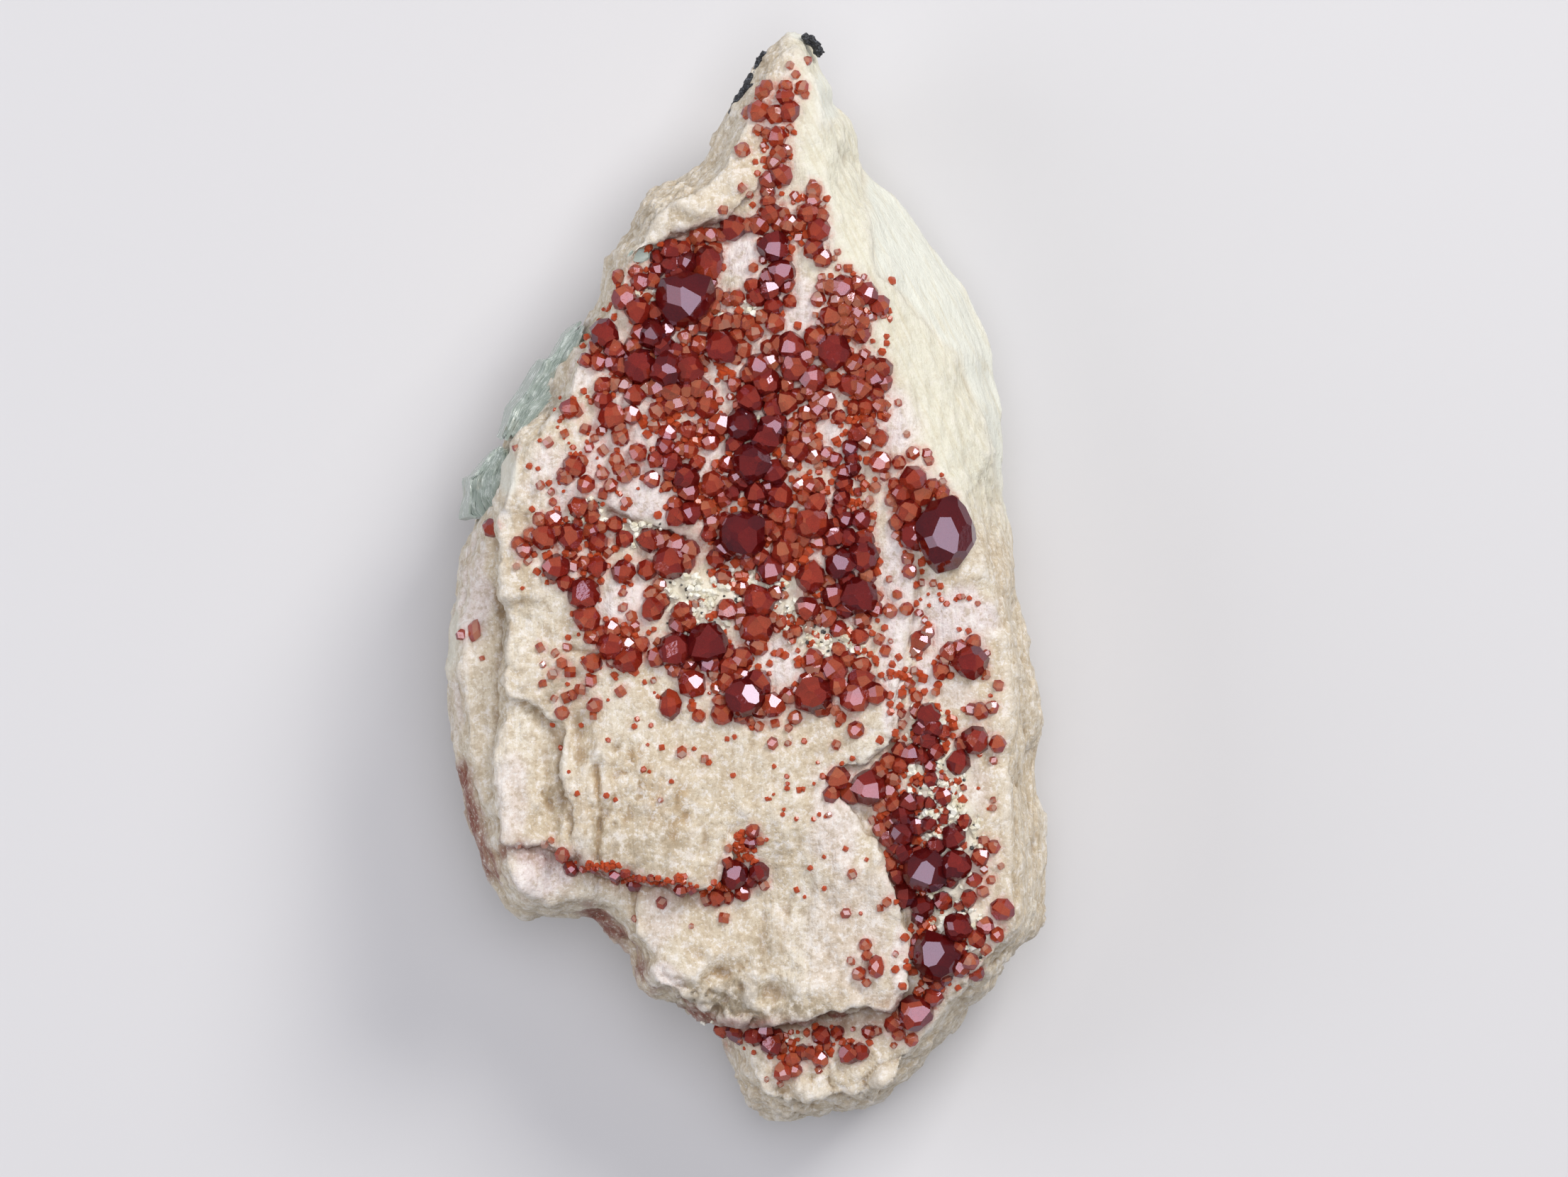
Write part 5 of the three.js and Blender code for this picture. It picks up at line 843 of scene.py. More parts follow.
def paint_rock(mesh):
    """Stores where the rock is pink, frosted, ochre, russet, crusted, hollow or near garnet, and
    where it takes painted shade in the hollows and a painted highlight on the crests.
    """
    places, normals = mesh_places(mesh)
    facing = smooth(0.2, 0.7, normals[:, 2])
    settled = neighbour_mean(mesh, places, 10)
    depth = np.einsum("ij,ij->i", settled - places, normals)
    frost = frost_cover(places)
    band = smooth(-11, -6, beyond_fold(places)) * smooth(2, 14, places[:, 1])
    wander = 0.6 * lattice_noise(places, (2, 2, 2), 37)
    wander += 1.4 * (1 - facing) * layered_noise(places, (5, 5, 4), 3, 39)
    wall = 1 - smooth(0.2, 2.6, line_distance(places, RUSSET_LINES) + wander)
    wall *= upper_flank(places) * (1 - 0.6 * smooth(0.55, 0.85, normals[:, 2]))
    covers = {
        "hollow": smooth(0.0, 0.40, depth),
        "crest": smooth(0.0, 0.35, -depth),
        "lilac": facing * patch_cover(places, LILAC_PATCHES),
        "frost": frost,
        "band": (1 - frost) * band,
        "ochre": patch_cover(places, OCHRE_PATCHES, 0.5),
        "crust": facing * patch_cover(places, CRUST_PATCHES),
        "grime": patch_cover(places, SHADE_AND_DIRT_PATCHES, 0.5),
        "russet": wall,
        "halo": facing * smooth(0.02, 0.45, crystal_cover(places, 0.7)),
        "cluster": facing * smooth(0.14, 0.55, crystal_cover(places, 2.0)),
    }
    for name, cover in covers.items():
        store(mesh, name, cover)


def rock_material(settings):
    """Cream feldspar under layers of stain, painted shade and painted highlight, the first of them
    undermost.
    """
    shader = Shader("feldspar")
    names = ("hollow", "crest", "frost", "lilac", "crust", "cluster", "band")
    hollow, crest, frost, lilac, crust, cluster, band = map(shader.attribute, names)
    grain = shader.noise(0.6, 4.0, (1, 5, 1))
    slant = shader.noise(0.55, 4.0, (1, 14, 3), turn=math.radians(26))
    cloud = shader.noise(6.0, 4.0, (0.7, 1.6, 1))
    mottle = shader.noise(1.3, 4.0, roughness=0.7)
    speckle = shader.noise(0.5, 3.0, roughness=0.65)
    calm = 1 - 0.7 * frost - 0.7 * band
    # Ochre iron stain, and ochre pushed into the hollows as painted shade.
    stain = shader.attribute("ochre") * cloud.between(0.3, 0.75) + hollow * 0.6
    # Where the hollows take painted shade, with some dirt.
    hollow_shade_and_dirt = shader.attribute("grime") * (0.35 + 0.65 * mottle.between(0.40, 0.55))
    blush = shader.attribute("halo") * mottle.between(0.65, 0.3)
    # Ground between crowded crystals: red-brown coating, darkened further as painted shade between
    # the crystals.
    ground = shader.mix(mottle.between(0.36, 0.56), (0.46, 0.13, 0.075), (0.76, 0.62, 0.56))
    dust = shader.attribute("russet") * speckle.between(0.2, 0.5)
    streak = (frost + 1.2 * band) * slant.between(0.48, 0.70)
    layers = [
        (cloud.between(0.35, 0.65), (0.72, 0.65, 0.52)),
        (stain.between(0.1, 1.1), settings.ochre),
        (lilac * 0.8, settings.lilac),
        (band * 0.9, (0.76, 0.75, 0.62)),
        (mottle.between(0.52, 0.61) * 0.5 * calm, (0.42, 0.32, 0.20)),
        (mottle.between(0.47, 0.38) * 0.6 * calm, (0.88, 0.84, 0.79)),
        (speckle.between(0.46, 0.36) * 0.5 * calm, (0.90, 0.88, 0.85)),
        (speckle.between(0.56, 0.66) * 0.4 * calm, (0.40, 0.31, 0.20)),
        # Painted shade with some dirt, grey-brown, in the hollows.
        (hollow_shade_and_dirt * 0.75, (0.20, 0.155, 0.095)),
        (frost * 0.85, settings.frost),
        (blush * 0.7, (0.66, 0.20, 0.12)),
        (cluster * 0.85, ground),
        (dust, settings.russet),
        (crust * speckle.between(0.25, 0.45) * 0.85, settings.crust),
        (grain.between(0.45, 0.75) * 0.28 * calm, (0.50, 0.40, 0.27)),
        (streak * 0.36, (0.60, 0.53, 0.36)),
        # Painted shade: the hollows darkened brown.
        (hollow * 0.45, (0.20, 0.13, 0.08)),
        # Painted highlight: the crests lightened.
        (crest * 0.30, (0.86, 0.83, 0.78)),
    ]
    base = settings.cream
    for cover, colour in layers:
        base = shader.mix(cover, base, colour)
    rough = 0.60 + 0.25 * speckle - 0.18 * frost - 0.12 * lilac
    relief = grain * 0.5 + mottle * 0.3 + speckle * 0.3
    return shader.finish(
        Base_Color=base, Roughness=rough, Normal=shader.bump(relief, 1.0, 0.45 * MM),
    )


# Share of the block's faces that stay when its flat back is thinned.
KEPT_FACES = 0.62


class SPECIMEN_OT_rock(bpy.types.Operator):
    """Weathers the feldspar block and paints its stains"""

    bl_idname = "specimen.rock"
    bl_label = "Feldspar block"

    def execute(self, context):
        settings = context.scene.specimen_rock
        rock = link_new("feldspar_block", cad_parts["feldspar_matrix"].data.copy())
        activate(rock)
        bpy.ops.object.mode_set(mode="EDIT")
        bpy.ops.mesh.select_all(action="SELECT")
        bpy.ops.mesh.remove_doubles(threshold=0.01 * MM)
        bpy.ops.object.mode_set(mode="OBJECT")
        apply_modifier(rock, "REMESH", mode="VOXEL", voxel_size=settings.voxel)
        places, normals = mesh_places(rock.data)
        soft = smooth(0.55, 0.85, np.abs(normals[:, 2]))
        near_ledge = np.exp(-((line_distance(places, LEDGES) / 1.4) ** 2)) * (places[:, 2] > 12)
        weight = (0.15 + 0.85 * soft) * (1 - 0.9 * near_ledge)
        set_places(rock.data, neighbour_mean(rock.data, places, 30, weight))
        places, normals = mesh_places(rock.data)
        set_places(rock.data, shape_rock(places, normals, settings))
        hidden = rock.vertex_groups.new(name="underside")
        hidden.add([int(i) for i in np.flatnonzero(normals[:, 2] < -0.3)], 1.0, "REPLACE")
        apply_modifier(rock, "DECIMATE", ratio=KEPT_FACES, vertex_group=hidden.name)
        places, _ = mesh_places(rock.data)
        set_places(rock.data, np.clip(places, *(np.array(corner) / MM for corner in CAD_BOX)))
        paint_rock(rock.data)
        rock.data.shade_smooth()
        hand_in(rock, rock_material(settings), ["feldspar_matrix"])
        return {"FINISHED"}


def form_normals(indices):
    """Unit normals of the faces of a cubic crystal form."""
    orders = {tuple(np.roll(order, k)) for order in (indices, indices[::-1]) for k in range(3)}
    found = {
        tuple(int(index) * (1 - 2 * sign) for index, sign in zip(order, signs))
        for order in orders for signs in np.ndindex(2, 2, 2)
    }
    return [Vector(normal).normalized() for normal in sorted(found)]


DODECAHEDRON = form_normals((1, 1, 0))
TRAPEZOHEDRON = form_normals((2, 1, 1))
# Kinds of crystal: how many are cut, and for each form the distance of its planes from the
# middle, in a crystal about 1 across, and how unevenly they lie.
CUTS = {
    "tiny": (6, [(DODECAHEDRON, 0.45, 0.12)]),
    "middling": (8, [(TRAPEZOHEDRON, 0.485, 0.07)]),
    "large": (6, [(TRAPEZOHEDRON, 0.485, 0.06), (DODECAHEDRON, 0.51, 0.06)]),
}
# The diameter in mm that each kind starts above, and how often its widest facet looks forward.
KINDS = {"large": (2.9, 0.8), "middling": (1.3, 0.2), "tiny": (0.0, 0.1)}
# A crystal's full size over the width that shows above the rock.
SWELL = 1.2


def cut_crystal(planes):
    """A cube that each plane in turn has cut, about 1 across: its corners, its faces, their
    normals and the normal of the widest one."""
    crystal = add_primitive(bpy.ops.mesh.primitive_cube_add, size=2)
    bpy.ops.object.mode_set(mode="EDIT")
    for normal, distance in planes:
        bpy.ops.mesh.select_all(action="SELECT")
        bpy.ops.mesh.bisect(
            plane_co=normal * distance, plane_no=normal, use_fill=True, clear_outer=True
        )
    bpy.ops.mesh.select_all(action="SELECT")
    bpy.ops.mesh.remove_doubles(threshold=0.015)
    bpy.ops.object.mode_set(mode="OBJECT")
    mesh = crystal.data
    corners = np.array([vertex.co for vertex in mesh.vertices])
    faces = [tuple(polygon.vertices) for polygon in mesh.polygons]
    normals = np.array([polygon.normal for polygon in mesh.polygons])
    widest = max(mesh.polygons, key=lambda polygon: polygon.area).normal.copy()
    bpy.data.meshes.remove(mesh)
    return corners, faces, normals, widest


def crystal_masters(seed):
    """Cut crystals of each kind: tiny and plain, middling, and large with both forms."""
    random_numbers = random.Random(seed)

    def cut(forms):
        return cut_crystal([
            (normal, distance * (1 + random_numbers.uniform(-uneven, uneven)))
            for normals, distance, uneven in forms for normal in normals
        ])

    return {kind: [cut(forms) for _ in range(count)] for kind, (count, forms) in CUTS.items()}


def surface_finder(piece):
    """A function that gives the piece's surface under a place seen from the front, in mm."""
    mesh = piece.data
    tree = BVHTree.FromPolygons(
        [vertex.co for vertex in mesh.vertices], [polygon.vertices for polygon in mesh.polygons]
    )

    def find(x, y):
        point, normal, _, _ = tree.ray_cast(Vector((x * MM, y * MM, 0.1)), Vector((0, 0, -1)))
        return (point / MM, normal) if point else (None, None)

    return find


def any_turn(random_numbers):
    """A rotation with no favoured direction."""
    return Quaternion([random_numbers.gauss(0, 1) for _ in range(4)]).normalized().to_matrix()


def facet_forward(facet, most_tilt, random_numbers):
    """A rotation that brings this facet to the front, at most most_tilt off it."""
    tilt = most_tilt * math.sqrt(random_numbers.random())
    azimuth = random_numbers.uniform(0, 2 * math.pi)
    off = math.sin(tilt)
    aim = Vector((off * math.cos(azimuth), off * math.sin(azimuth), math.cos(tilt)))
    spin = Quaternion(facet, random_numbers.uniform(0, 2 * math.pi))
    return (facet.rotation_difference(aim) @ spin).to_matrix()


class Heap:
    """Crystals or grains gathered into one mesh, each facet with its own depth of colour and
    painted shade: facets turned sideways are darker, those facing the front lighter as a painted
    highlight.
    """

    def __init__(self):
        self.corners, self.faces, self.shaded_depths = [], [], []

    def add(self, master, place, turn, depth, random_numbers):
        """Adds a copy of a cut crystal, turned and scaled by a matrix, at a place in mm."""
        corners, faces, normals, _ = master
        first = len(self.corners)
        self.corners.extend(corners @ turn.T + np.array(place))
        self.faces.extend([tuple(first + corner for corner in face) for face in faces])
        turned = normals @ np.linalg.inv(turn)
        forward = turned[:, 2] / np.linalg.norm(turned, axis=1)
        # Painted shade on facets turned sideways from the front, painted highlight on those facing
        # it.
        side = 1 - smooth(0.45, 0.88, forward)
        uneven = [random_numbers.uniform(-0.13, 0.13) for _ in faces]
        self.shaded_depths.extend(depth + 0.30 * side - 0.06 * (1 - side) + uneven)

    def to_object(self, name):
        """The whole heap as one object."""
        mesh = bpy.data.meshes.new(name)
        mesh.from_pydata([tuple(corner * MM) for corner in self.corners], [], self.faces)
        mesh.update()
        store(mesh, "depth", np.array(self.shaded_depths), "FACE")
        return link_new(name, mesh)


# Colour of a facet by its depth, which holds its own depth of colour and its painted shade and
# highlight; the palest stops are painted highlight.
GARNET_TINTS = [
    (0.00, (0.98, 0.90, 0.83)), (0.16, (0.94, 0.60, 0.46)), (0.34, (0.87, 0.26, 0.12)),
    (0.52, (0.70, 0.105, 0.040)), (0.72, (0.44, 0.036, 0.020)), (1.00, (0.17, 0.009, 0.009)),
]


def garnet_material(settings):
    """Clear red garnet, tinted facet by facet."""
    shader = Shader("garnet")
    tint = shader.ramp(shader.attribute("depth"), GARNET_TINTS)
    flaw = shader.noise(0.6, 3.0)
    material = shader.finish(
        Base_Color=tint, Roughness=0.02 + 0.12 * flaw.between(0.5, 0.8), IOR=1.8,
        Transmission_Weight=0.65, Specular_IOR_Level=0.42, Specular_Tint=(0.92, 0.80, 1.0, 1.0),
        Normal=shader.bump(flaw, 0.15, 0.05 * MM),
    )
    absorption = shader.node(
        "ShaderNodeVolumeAbsorption",
        inputs={"Color": (0.93, 0.40, 0.12, 1.0), "Density": settings.density},
    )
    shader.tree.links.new(absorption.socket, shader.output.inputs["Volume"])
    return material


def colour_depth(x, y, diameter, random_numbers):
    """How deep a crystal's colour is, from its size and from the vein it grew in."""
    vein = patch_cover(np.array([[x, y, 30.0]]), DARK_PATCHES, 0.0)[0]
    return 0.95 * (1 - math.exp(-diameter / 3)) + 0.28 * vein + random_numbers.uniform(-0.07, 0.07)


def group_over(name):
    """The group with the most crystals in this solid's outline, seen from the front."""
    places, _ = mesh_places(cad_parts[name].data)
    low, high = places.min(axis=0), places.max(axis=0)
    counts = {
        group: sum(low[0] <= x <= high[0] and low[1] <= y <= high[1] for x, y, *_ in crystals)
        for group, crystals in CRYSTALS.items()
    }
    group = max(counts, key=counts.get)
    if not counts[group]:
        raise RuntimeError(f"no crystal lies in {name}")
    return group


class SPECIMEN_OT_garnets(bpy.types.Operator):
    """Sets the garnet crystals in the rock, one mesh for each part of the face"""

    bl_idname = "specimen.garnets"
    bl_label = "Garnet crystals"

    def execute(self, context):
        settings = context.scene.specimen_garnet
        masters = crystal_masters(settings.seed)
        find = surface_finder(bpy.data.objects["feldspar_block"])
        material = garnet_material(settings)
        random_numbers = random.Random(settings.seed)
        replaced = {group: [] for group in CRYSTALS}
        for name in nodes_named("garnets_"):
            replaced[group_over(name)].append(name)
        for group, crystals in CRYSTALS.items():
            heap = Heap()
            for x, y, diameter, *length in crystals:
                point, normal = find(x, y)
                if point is None:
                    continue
                kind = next(kind for kind, (least, _) in KINDS.items() if diameter > least)
                master = random_numbers.choice(masters[kind])
                if random_numbers.random() < KINDS[kind][1]:
                    turn = facet_forward(master[3], settings.facet_tilt, random_numbers)
                else:
                    turn = any_turn(random_numbers)
                scale = SWELL * diameter * np.diag([1, length[0] if length else 1, 1])
                place = point + normal * settings.rise * diameter
                depth = colour_depth(x, y, diameter, random_numbers)
                heap.add(master, place, scale @ np.array(turn), depth, random_numbers)
            hand_in(heap.to_object(f"garnets_{group}"), material, replaced[group])
        return {"FINISHED"}


class SPECIMEN_OT_sprinkle(bpy.types.Operator):
    """Scatters tiny garnets over the ground between the others"""

    bl_idname = "specimen.sprinkle"
    bl_label = "Tiny garnets"

    def execute(self, context):
        settings = context.scene.specimen_garnet
        masters = crystal_masters(settings.seed + 1)["tiny"]
        find = surface_finder(bpy.data.objects["feldspar_block"])
        random_numbers = random.Random(settings.seed + 2)
        spots = []
        for x, y, half_width, half_height, count, least, most in SPRINKLES:
            for _ in range(count):
                place = [
                    middle + half * random_numbers.uniform(-1, 1) * random_numbers.random() ** 0.3
                    for middle, half in ((x, half_width), (y, half_height))
                ]
                spots.append((*place, random_numbers.uniform(least, most)))
        heap = Heap()
        for (x, y, diameter), covered in zip(spots, crystal_cover(np.array(spots), 0.25)):
            point, normal = find(x, y)
            if point is None or covered > 0.5:
                continue
            turn = diameter * np.array(any_turn(random_numbers))
            depth = colour_depth(x, y, 0.45 * diameter, random_numbers)
            master = random_numbers.choice(masters)
            heap.add(master, point + normal * 0.05 * diameter, turn, depth, random_numbers)
        hand_in(heap.to_object("garnets_tiny"), bpy.data.materials["garnet"])
        return {"FINISHED"}


def clouded_material(name, noise, band, colours, roughness, bump):
    """A material whose colour, gloss and relief follow one noise."""
    shader = Shader(name)
    cloud = shader.noise(*noise)
    least, spread = roughness
    return shader.finish(
        Base_Color=shader.mix(cloud.between(*band), *colours), Roughness=least + spread * cloud,
        Normal=shader.bump(cloud, *bump),
    )


class SPECIMEN_OT_crust(bpy.types.Operator):
    """Heaps pale grains and black chips between the crystals"""

    bl_idname = "specimen.crust"
    bl_label = "Crust"

    def execute(self, context):
        masters = crystal_masters(CRUST_SEED)["tiny"]
        find = surface_finder(bpy.data.objects["feldspar_block"])
        cream = clouded_material(
            "crust", (1.4, 3.0), (0.35, 0.65), [(0.68, 0.63, 0.47), (0.90, 0.89, 0.80)],
            (0.65, 0.2), (0.4, 0.1 * MM),
        )
        black = clouded_material(
            "black_chips", (0.4, 2.0), (0.4, 0.6), [(0.02, 0.02, 0.022), (0.10, 0.09, 0.08)],
            (0.3, 0.3), (0.3, 0.1 * MM),
        )
        # How many lie in a patch for each square mm of its half width by its half height, and
        # their least and greatest size in mm.
        kinds = [
            ("crust_grains", cream, 34 / 8, 0.4, 1.2), ("crust_chips", black, 9 / 8, 0.25, 0.6),
        ]
        for name, material, count, least, most in kinds:
            random_numbers = random.Random(name)
            heap = Heap()
            for x, y, half_width, half_height, *_strength in CRUST_PATCHES:
                for _ in range(int(count * half_width * half_height)):
                    angle = random_numbers.uniform(0, 2 * math.pi)
                    reach = math.sqrt(random_numbers.random())
                    across = half_width * reach * math.cos(angle)
                    up = half_height * reach * math.sin(angle)
                    point, normal = find(x + across, y + up)
                    size = random_numbers.uniform(least, most)
                    stretch = np.diag([random_numbers.uniform(0.5, 1.1) for _ in range(3)])
                    turn = np.array(any_turn(random_numbers))
                    master = random_numbers.choice(masters)
                    if point is not None:
                        place = point + normal * 0.2 * size
                        heap.add(master, place, size * turn @ stretch, 0.5, random_numbers)
            hand_in(heap.to_object(name), material)
        return {"FINISHED"}


def mica_material(settings):
    """Streaky grey-green mica with olive clouds, its whitish streaks a painted highlight."""
    shader = Shader("mica")
    streak = shader.noise(1.4, 4.0, (1, 1, 0.4))
    # Painted highlight: whitish streaks stand for the glints on the sheets.
    colour = shader.mix(streak.between(0.45, 0.75), settings.colour, (0.75, 0.81, 0.76))
    olive = shader.noise(3.0, 3.0)
    colour = shader.mix(olive.between(0.55, 0.75) * 0.6, colour, (0.40, 0.39, 0.27))
    return shader.finish(
        Base_Color=colour, Roughness=0.12 + 0.25 * streak, IOR=1.58, Transmission_Weight=0.2,
        Normal=shader.bump(streak, 0.35, 0.2 * MM),
    )


def add_sheet(half_length, half_depth, random_numbers):
    """One sheet of the loose flake, flat in x and y, with a torn outline, sizes in mm."""
    sheet = add_primitive(
        bpy.ops.mesh.primitive_circle_add, vertices=9, radius=MM, fill_type="NGON"
    )
    torn = 1.0
    for vertex in sheet.data.vertices:
        torn = min(1.0, max(0.80, torn + random_numbers.uniform(-0.09, 0.09)))
        vertex.co.x *= half_length * torn
        vertex.co.y *= half_depth * torn
    apply_modifier(sheet, "SOLIDIFY", thickness=0.14 * MM, offset=0.0)
    return sheet


LEAF_GRID = {"x_subdivisions": 26, "y_subdivisions": 7, "size": 2 * MM}
# Length of a book, its height over the ground, how much higher its inner leaves are and how deep
# its leaves reach, in mm.
BOOK_LENGTH, BOOK_TOP, BOOK_RISE, BOOK_DROP = 18, 22.5, 4, 6
# How far the leaves of a book spread from its outer line, as shares of the way to the inner one.
BOOK_START, BOOK_SPREAD = 0.05, 1.3
# Where the loose flake lies, x and y in mm.
FLAKE = (-13.4, 40.8)
# Each book lies between two lines seen from the front: its outer edge and the rock behind it.
MICA_BOOKS = {
    "mica_book_upper": (
        [(-20.9, 32.6), (-22.8, 30.8), (-24.5, 27.9), (-25.6, 27.4), (-26.4, 26), (-28.1, 23.6),
         (-29.8, 21.5), (-30.4, 19.4), (-31.2, 17.2)],
        [(-20.6, 32), (-21.8, 29.5), (-22.4, 28.5), (-23, 26.8), (-23.4, 24.3), (-25, 22.6),
         (-26.6, 21.2), (-28, 19.2), (-29.2, 17.2)],
    ),
    "mica_book_lower": (
        [(-31.5, 16.7), (-33, 15), (-34.3, 13.1), (-35.1, 12.4), (-35.1, 10.2), (-35.3, 7.8),
         (-33.9, 7.1)],
        [(-30.7, 16.4), (-30.9, 15.5), (-31.4, 14), (-31.9, 12.4), (-32.4, 10.3), (-31.2, 9.2),
         (-31.2, 7.5)],
    ),
}


def along_line(line, along):
    """The places at these shares of the way along a line's points."""
    steps = np.linspace(0, 1, len(line))
    return np.stack([np.interp(along, steps, axis) for axis in np.array(line).T], axis=1)


def add_leaf(outer, inner, share, lean, seed, random_numbers):
    """A wavy, torn mica leaf that stands between two lines, its foot nearer the outer one."""
    leaf = add_primitive(bpy.ops.mesh.primitive_grid_add, **LEAF_GRID)
    places, _ = mesh_places(leaf.data)
    along, up = (places[:, 0] + 1) / 2, (places[:, 1] + 1) / 2
    start, end = random_numbers.uniform(0, 0.08), random_numbers.uniform(0.92, 1)
    along = start + (end - start) * (along + 0.05 * (1 - up) * (0.5 - along))
    line = np.stack(
        [BOOK_LENGTH * along, np.zeros_like(along), np.full_like(along, 2 * share)], axis=1
    )
    torn = layered_noise(line, (2.6, 1, 0.5), 3, seed) + random_numbers.uniform(-0.25, 0.25)
    ripple = layered_noise(line, (4, 1, 1), 2, seed + 1)
    reach = share - lean * (1 - up) + 0.08 * ripple
    outside, inside = along_line(outer, along), along_line(inner, along)
    flat = outside + reach[:, None] * (inside - outside)
    top = BOOK_TOP + BOOK_RISE * smooth(0, BOOK_SPREAD, share)
    foot = BOOK_DROP * (0.75 + 0.2 * ripple + random_numbers.uniform(-0.15, 0.15))
    height = top + 0.6 * torn * up - foot * (1 - up)
    set_places(leaf.data, np.column_stack([flat, height]))
    apply_modifier(leaf, "SOLIDIFY", thickness=0.26 * MM, offset=0.0)
    return leaf


class SPECIMEN_OT_mica(bpy.types.Operator):
    """Stacks mica sheets into books on the left flank"""

    bl_idname = "specimen.mica"
    bl_label = "Mica books"

    def execute(self, context):
        settings = context.scene.specimen_mica
        material = mica_material(settings)
        find = surface_finder(bpy.data.objects["feldspar_block"])
        random_numbers = random.Random(MICA_SEED)
        for name, (outer, inner) in MICA_BOOKS.items():
            seed = random_numbers.randrange(1000)
            leaves = []
            for k in range(settings.sheets):
                share = BOOK_START + BOOK_SPREAD * k / settings.sheets
                leaves.append(add_leaf(outer, inner, share, settings.lean, seed, random_numbers))
            hand_in(join(leaves, f"{name}_sheets"), material, [name])
        ground, _ = find(*FLAKE)
        turn = Matrix.Rotation(math.radians(12), 4, "Z") @ Matrix.Rotation(0.2, 4, "X")
        flakes = [add_sheet(1.6 - 0.2 * k, 1.1 - 0.1 * k, random_numbers) for k in range(3)]
        for k, flake in enumerate(flakes):
            place = Matrix.Translation((ground + Vector((0, 0, 0.1 + 0.2 * k))) * MM)
            flake.data.transform(place @ turn)
        hand_in(join(flakes, "mica_flake"), material)
        return {"FINISHED"}


def add_prism(start, end, radius):
    """A fluted prism between two places, in mm."""
    start, end = Vector(start) * MM, Vector(end) * MM
    way = end - start
    prism = add_primitive(
        bpy.ops.mesh.primitive_cylinder_add, vertices=14, radius=radius * MM, depth=way.length
    )
    for i, vertex in enumerate(prism.data.vertices):
        flute = 0.84 if (i // 2) % 2 else 1.0
        vertex.co.x *= flute
        vertex.co.y *= flute
    turn = way.to_track_quat("Z", "Y").to_matrix().to_4x4()
    prism.data.transform(Matrix.Translation((start + end) / 2) @ turn)
    return prism


# Prisms of each piece of tourmaline: both ends and radius, in mm.
TOURMALINES = {
    "tourmaline_left": [
        ((-1.7, 58.8, 24.2), (0.4, 62.6, 24.6), 0.8), ((0.0, 61.6, 24.4), (2.0, 66.0, 24.8), 0.62),
        ((-1.2, 59.0, 23.2), (1.2, 63.8, 23.6), 0.8), ((0.4, 62.6, 23.2), (2.6, 67.0, 23.8), 0.5),
        ((-0.9, 60.4, 24.8), (1.0, 64.0, 25.0), 0.5), ((0.6, 61.6, 24.0), (1.8, 64.2, 24.6), 0.8),
        ((0.0, 62.3, 25.4), (1.2, 62.6, 26.6), 0.35),
    ],
    "tourmaline_tip": [
        ((7.5, 69.2, 24.0), (9.5, 67.2, 23.6), 0.6), ((8.0, 68.9, 23.2), (9.9, 66.6, 22.8), 0.7),
        ((8.3, 68.9, 24.4), (9.6, 67.6, 24.0), 0.45),
    ],
}


class SPECIMEN_OT_tourmaline(bpy.types.Operator):
    """Lays the black tourmaline along the edges of the point"""

    bl_idname = "specimen.tourmaline"
    bl_label = "Tourmaline"

    def execute(self, context):
        material = clouded_material(
            "tourmaline", (0.3, 3.0), (0.5, 0.75), [(0.012, 0.013, 0.017), (0.14, 0.16, 0.19)],
            (0.18, 0.3), (0.8, 0.2 * MM),
        )
        for name, prisms in TOURMALINES.items():
            piece = join([add_prism(*prism) for prism in prisms], f"{name}_prisms")
            apply_modifier(piece, "REMESH", mode="VOXEL", voxel_size=0.13 * MM)
            places, normals = mesh_places(piece.data)
            chipped = broken_steps(2.0 * layered_noise(places, (0.7, 0.7, 0.7), 2, 61), 0.2)
            set_places(piece.data, places + normals * (0.11 * chipped - 0.05)[:, None])
            hand_in(piece, material, [name])
        return {"FINISHED"}


# Width of the floor and its gap under the specimen, in metres.
FLOOR_WIDTH, FLOOR_GAP = 6, 0.05 * MM
# The even light from all around.
SKY_COLOUR, SKY_STRENGTH = (0.90, 0.90, 0.95, 1.0), 0.26
# The lamps: place and width in metres, watts and colour.
LAMPS = {
    "sky": ((0.1, 0.2, 2.9), 1.8, 40.0, (0.95, 0.94, 1.0)),
    "key": ((0.72, 0.86, 1.0), 0.6, 14.0, (1.0, 0.97, 0.93)),
    "fill": ((-1.1, 0.0, 0.8), 0.8, 4.5, (0.96, 0.96, 1.0)),
}


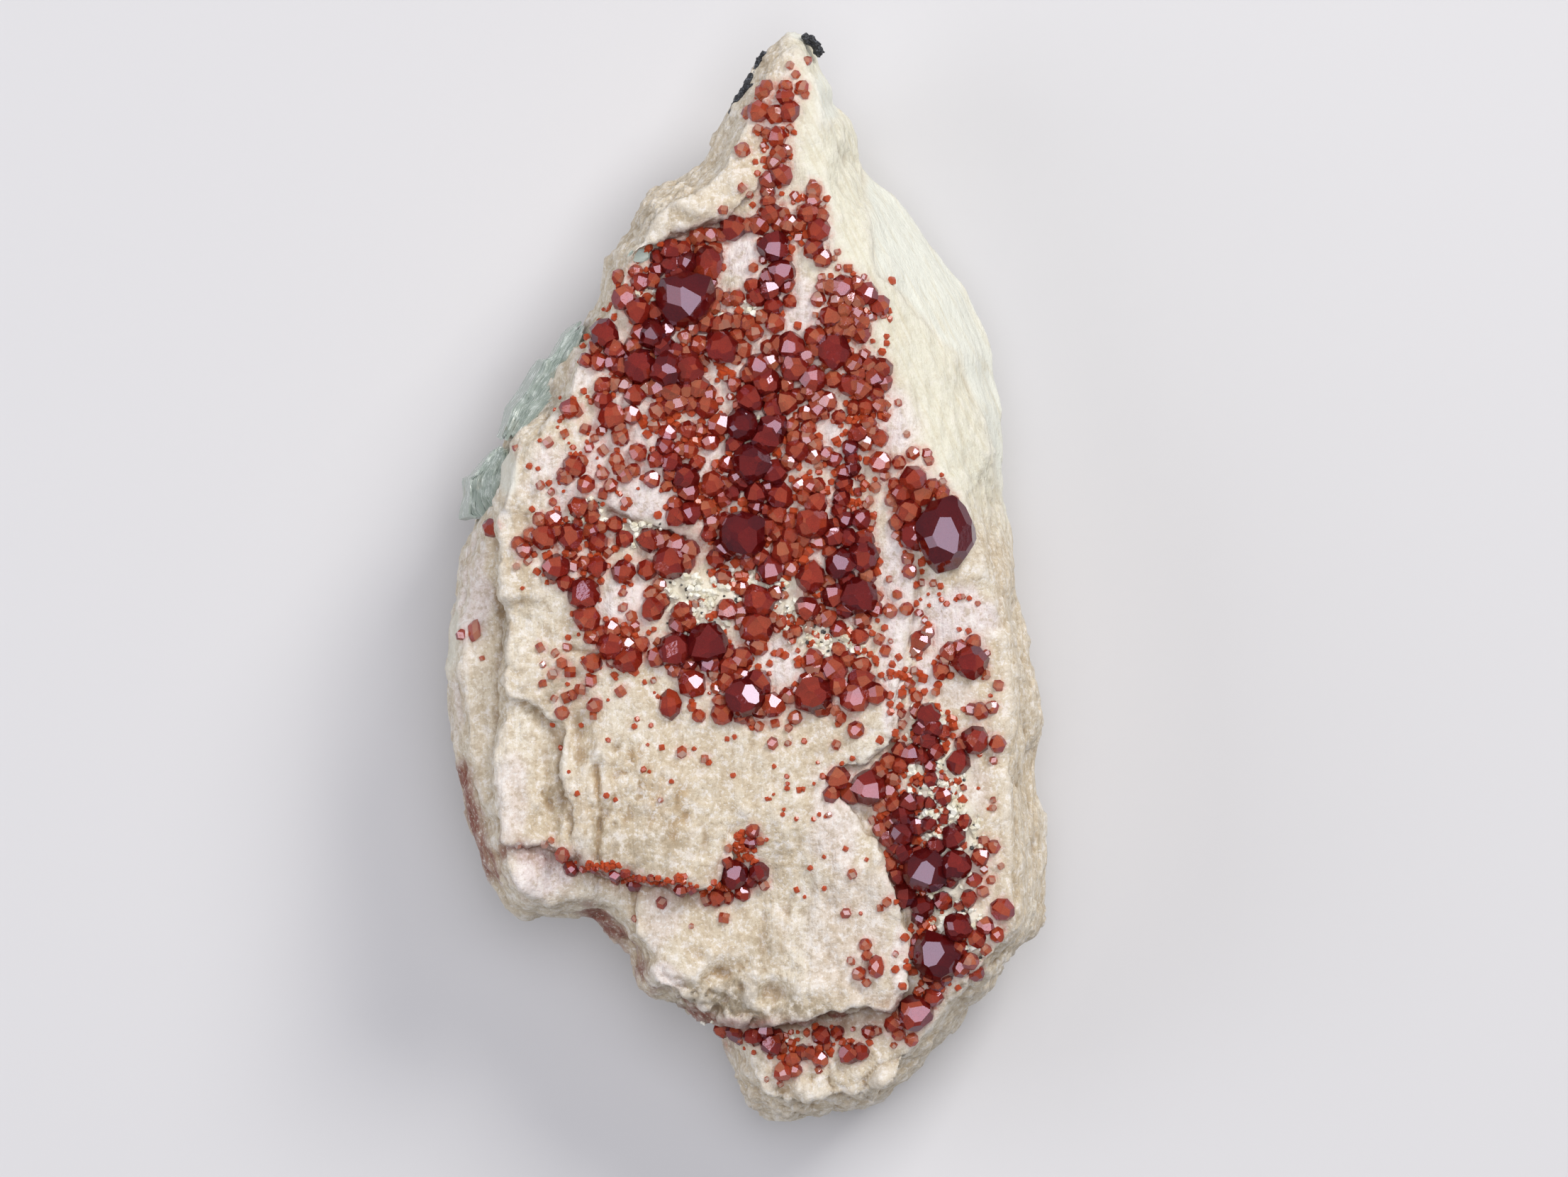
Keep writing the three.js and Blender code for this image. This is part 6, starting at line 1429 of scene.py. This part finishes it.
class SPECIMEN_OT_stage(bpy.types.Operator):
    """Sets the floor, the soft light and the camera above the garnet face"""

    bl_idname = "specimen.stage"
    bl_label = "Stage"

    def execute(self, context):
        settings = context.scene.specimen_stage
        self.add_floor(settings)
        self.add_light()
        face = CAD_BOX[1][2]
        camera = bpy.data.cameras.new("camera")
        camera.lens = camera.sensor_width * settings.camera_distance / settings.view_width
        camera.clip_end = 20
        holder = link_new("camera", camera)
        holder.location = (*settings.view_centre, face + settings.camera_distance)
        context.scene.camera = holder
        context.scene.view_settings.view_transform = "Standard"
        return {"FINISHED"}

    @staticmethod
    def add_floor(settings):
        floor = add_primitive(
            bpy.ops.mesh.primitive_plane_add, size=FLOOR_WIDTH, location=(0, 0, -FLOOR_GAP)
        )
        floor.name = "floor"
        shader = Shader("floor")
        tone = shader.mix(shader.noise(60.0, 2.0) * 0.1, settings.floor, (0.60, 0.60, 0.60))
        floor.data.materials.append(shader.finish(Base_Color=tone, Roughness=0.8))

    @staticmethod
    def add_light():
        world = bpy.data.worlds.new("studio")
        world.use_nodes = True
        background = world.node_tree.nodes["Background"]
        background.inputs["Color"].default_value = SKY_COLOUR
        background.inputs["Strength"].default_value = SKY_STRENGTH
        bpy.context.scene.world = world
        for name, (place, width, power, colour) in LAMPS.items():
            lamp = bpy.data.lights.new(name, "AREA")
            lamp.size, lamp.energy, lamp.color = width, power, colour
            holder = link_new(name, lamp)
            holder.location = place
            holder.rotation_euler = (-Vector(place)).to_track_quat("-Z", "Y").to_euler()


OPERATORS = [
    SPECIMEN_OT_stage,
    SPECIMEN_OT_rock,
    SPECIMEN_OT_garnets,
    SPECIMEN_OT_sprinkle,
    SPECIMEN_OT_crust,
    SPECIMEN_OT_mica,
    SPECIMEN_OT_tourmaline,
]


class SPECIMEN_PT_panel(bpy.types.Panel):
    """Lists the pieces of the specimen"""

    bl_idname = "SPECIMEN_PT_panel"
    bl_label = "Specimen"
    bl_space_type = "VIEW_3D"
    bl_region_type = "UI"
    bl_category = "Specimen"

    def draw(self, context):
        for name, group in SETTINGS.items():
            box = self.layout.box()
            for key in group.__annotations__:
                box.prop(getattr(context.scene, name), key)
        for operator in OPERATORS:
            self.layout.operator(operator.bl_idname)


def register():
    for group in [*SETTINGS.values(), *OPERATORS, SPECIMEN_PT_panel]:
        bpy.utils.register_class(group)
    for name, group in SETTINGS.items():
        setattr(bpy.types.Scene, name, bpy.props.PointerProperty(type=group))


def unregister():
    for name in SETTINGS:
        delattr(bpy.types.Scene, name)
    for group in reversed([*SETTINGS.values(), *OPERATORS, SPECIMEN_PT_panel]):
        bpy.utils.unregister_class(group)


def main():
    """Makes every piece in order."""
    register()
    for operator in OPERATORS:
        category, name = operator.bl_idname.split(".")
        getattr(getattr(bpy.ops, category), name)()


if __name__ == "__main__":
    main()
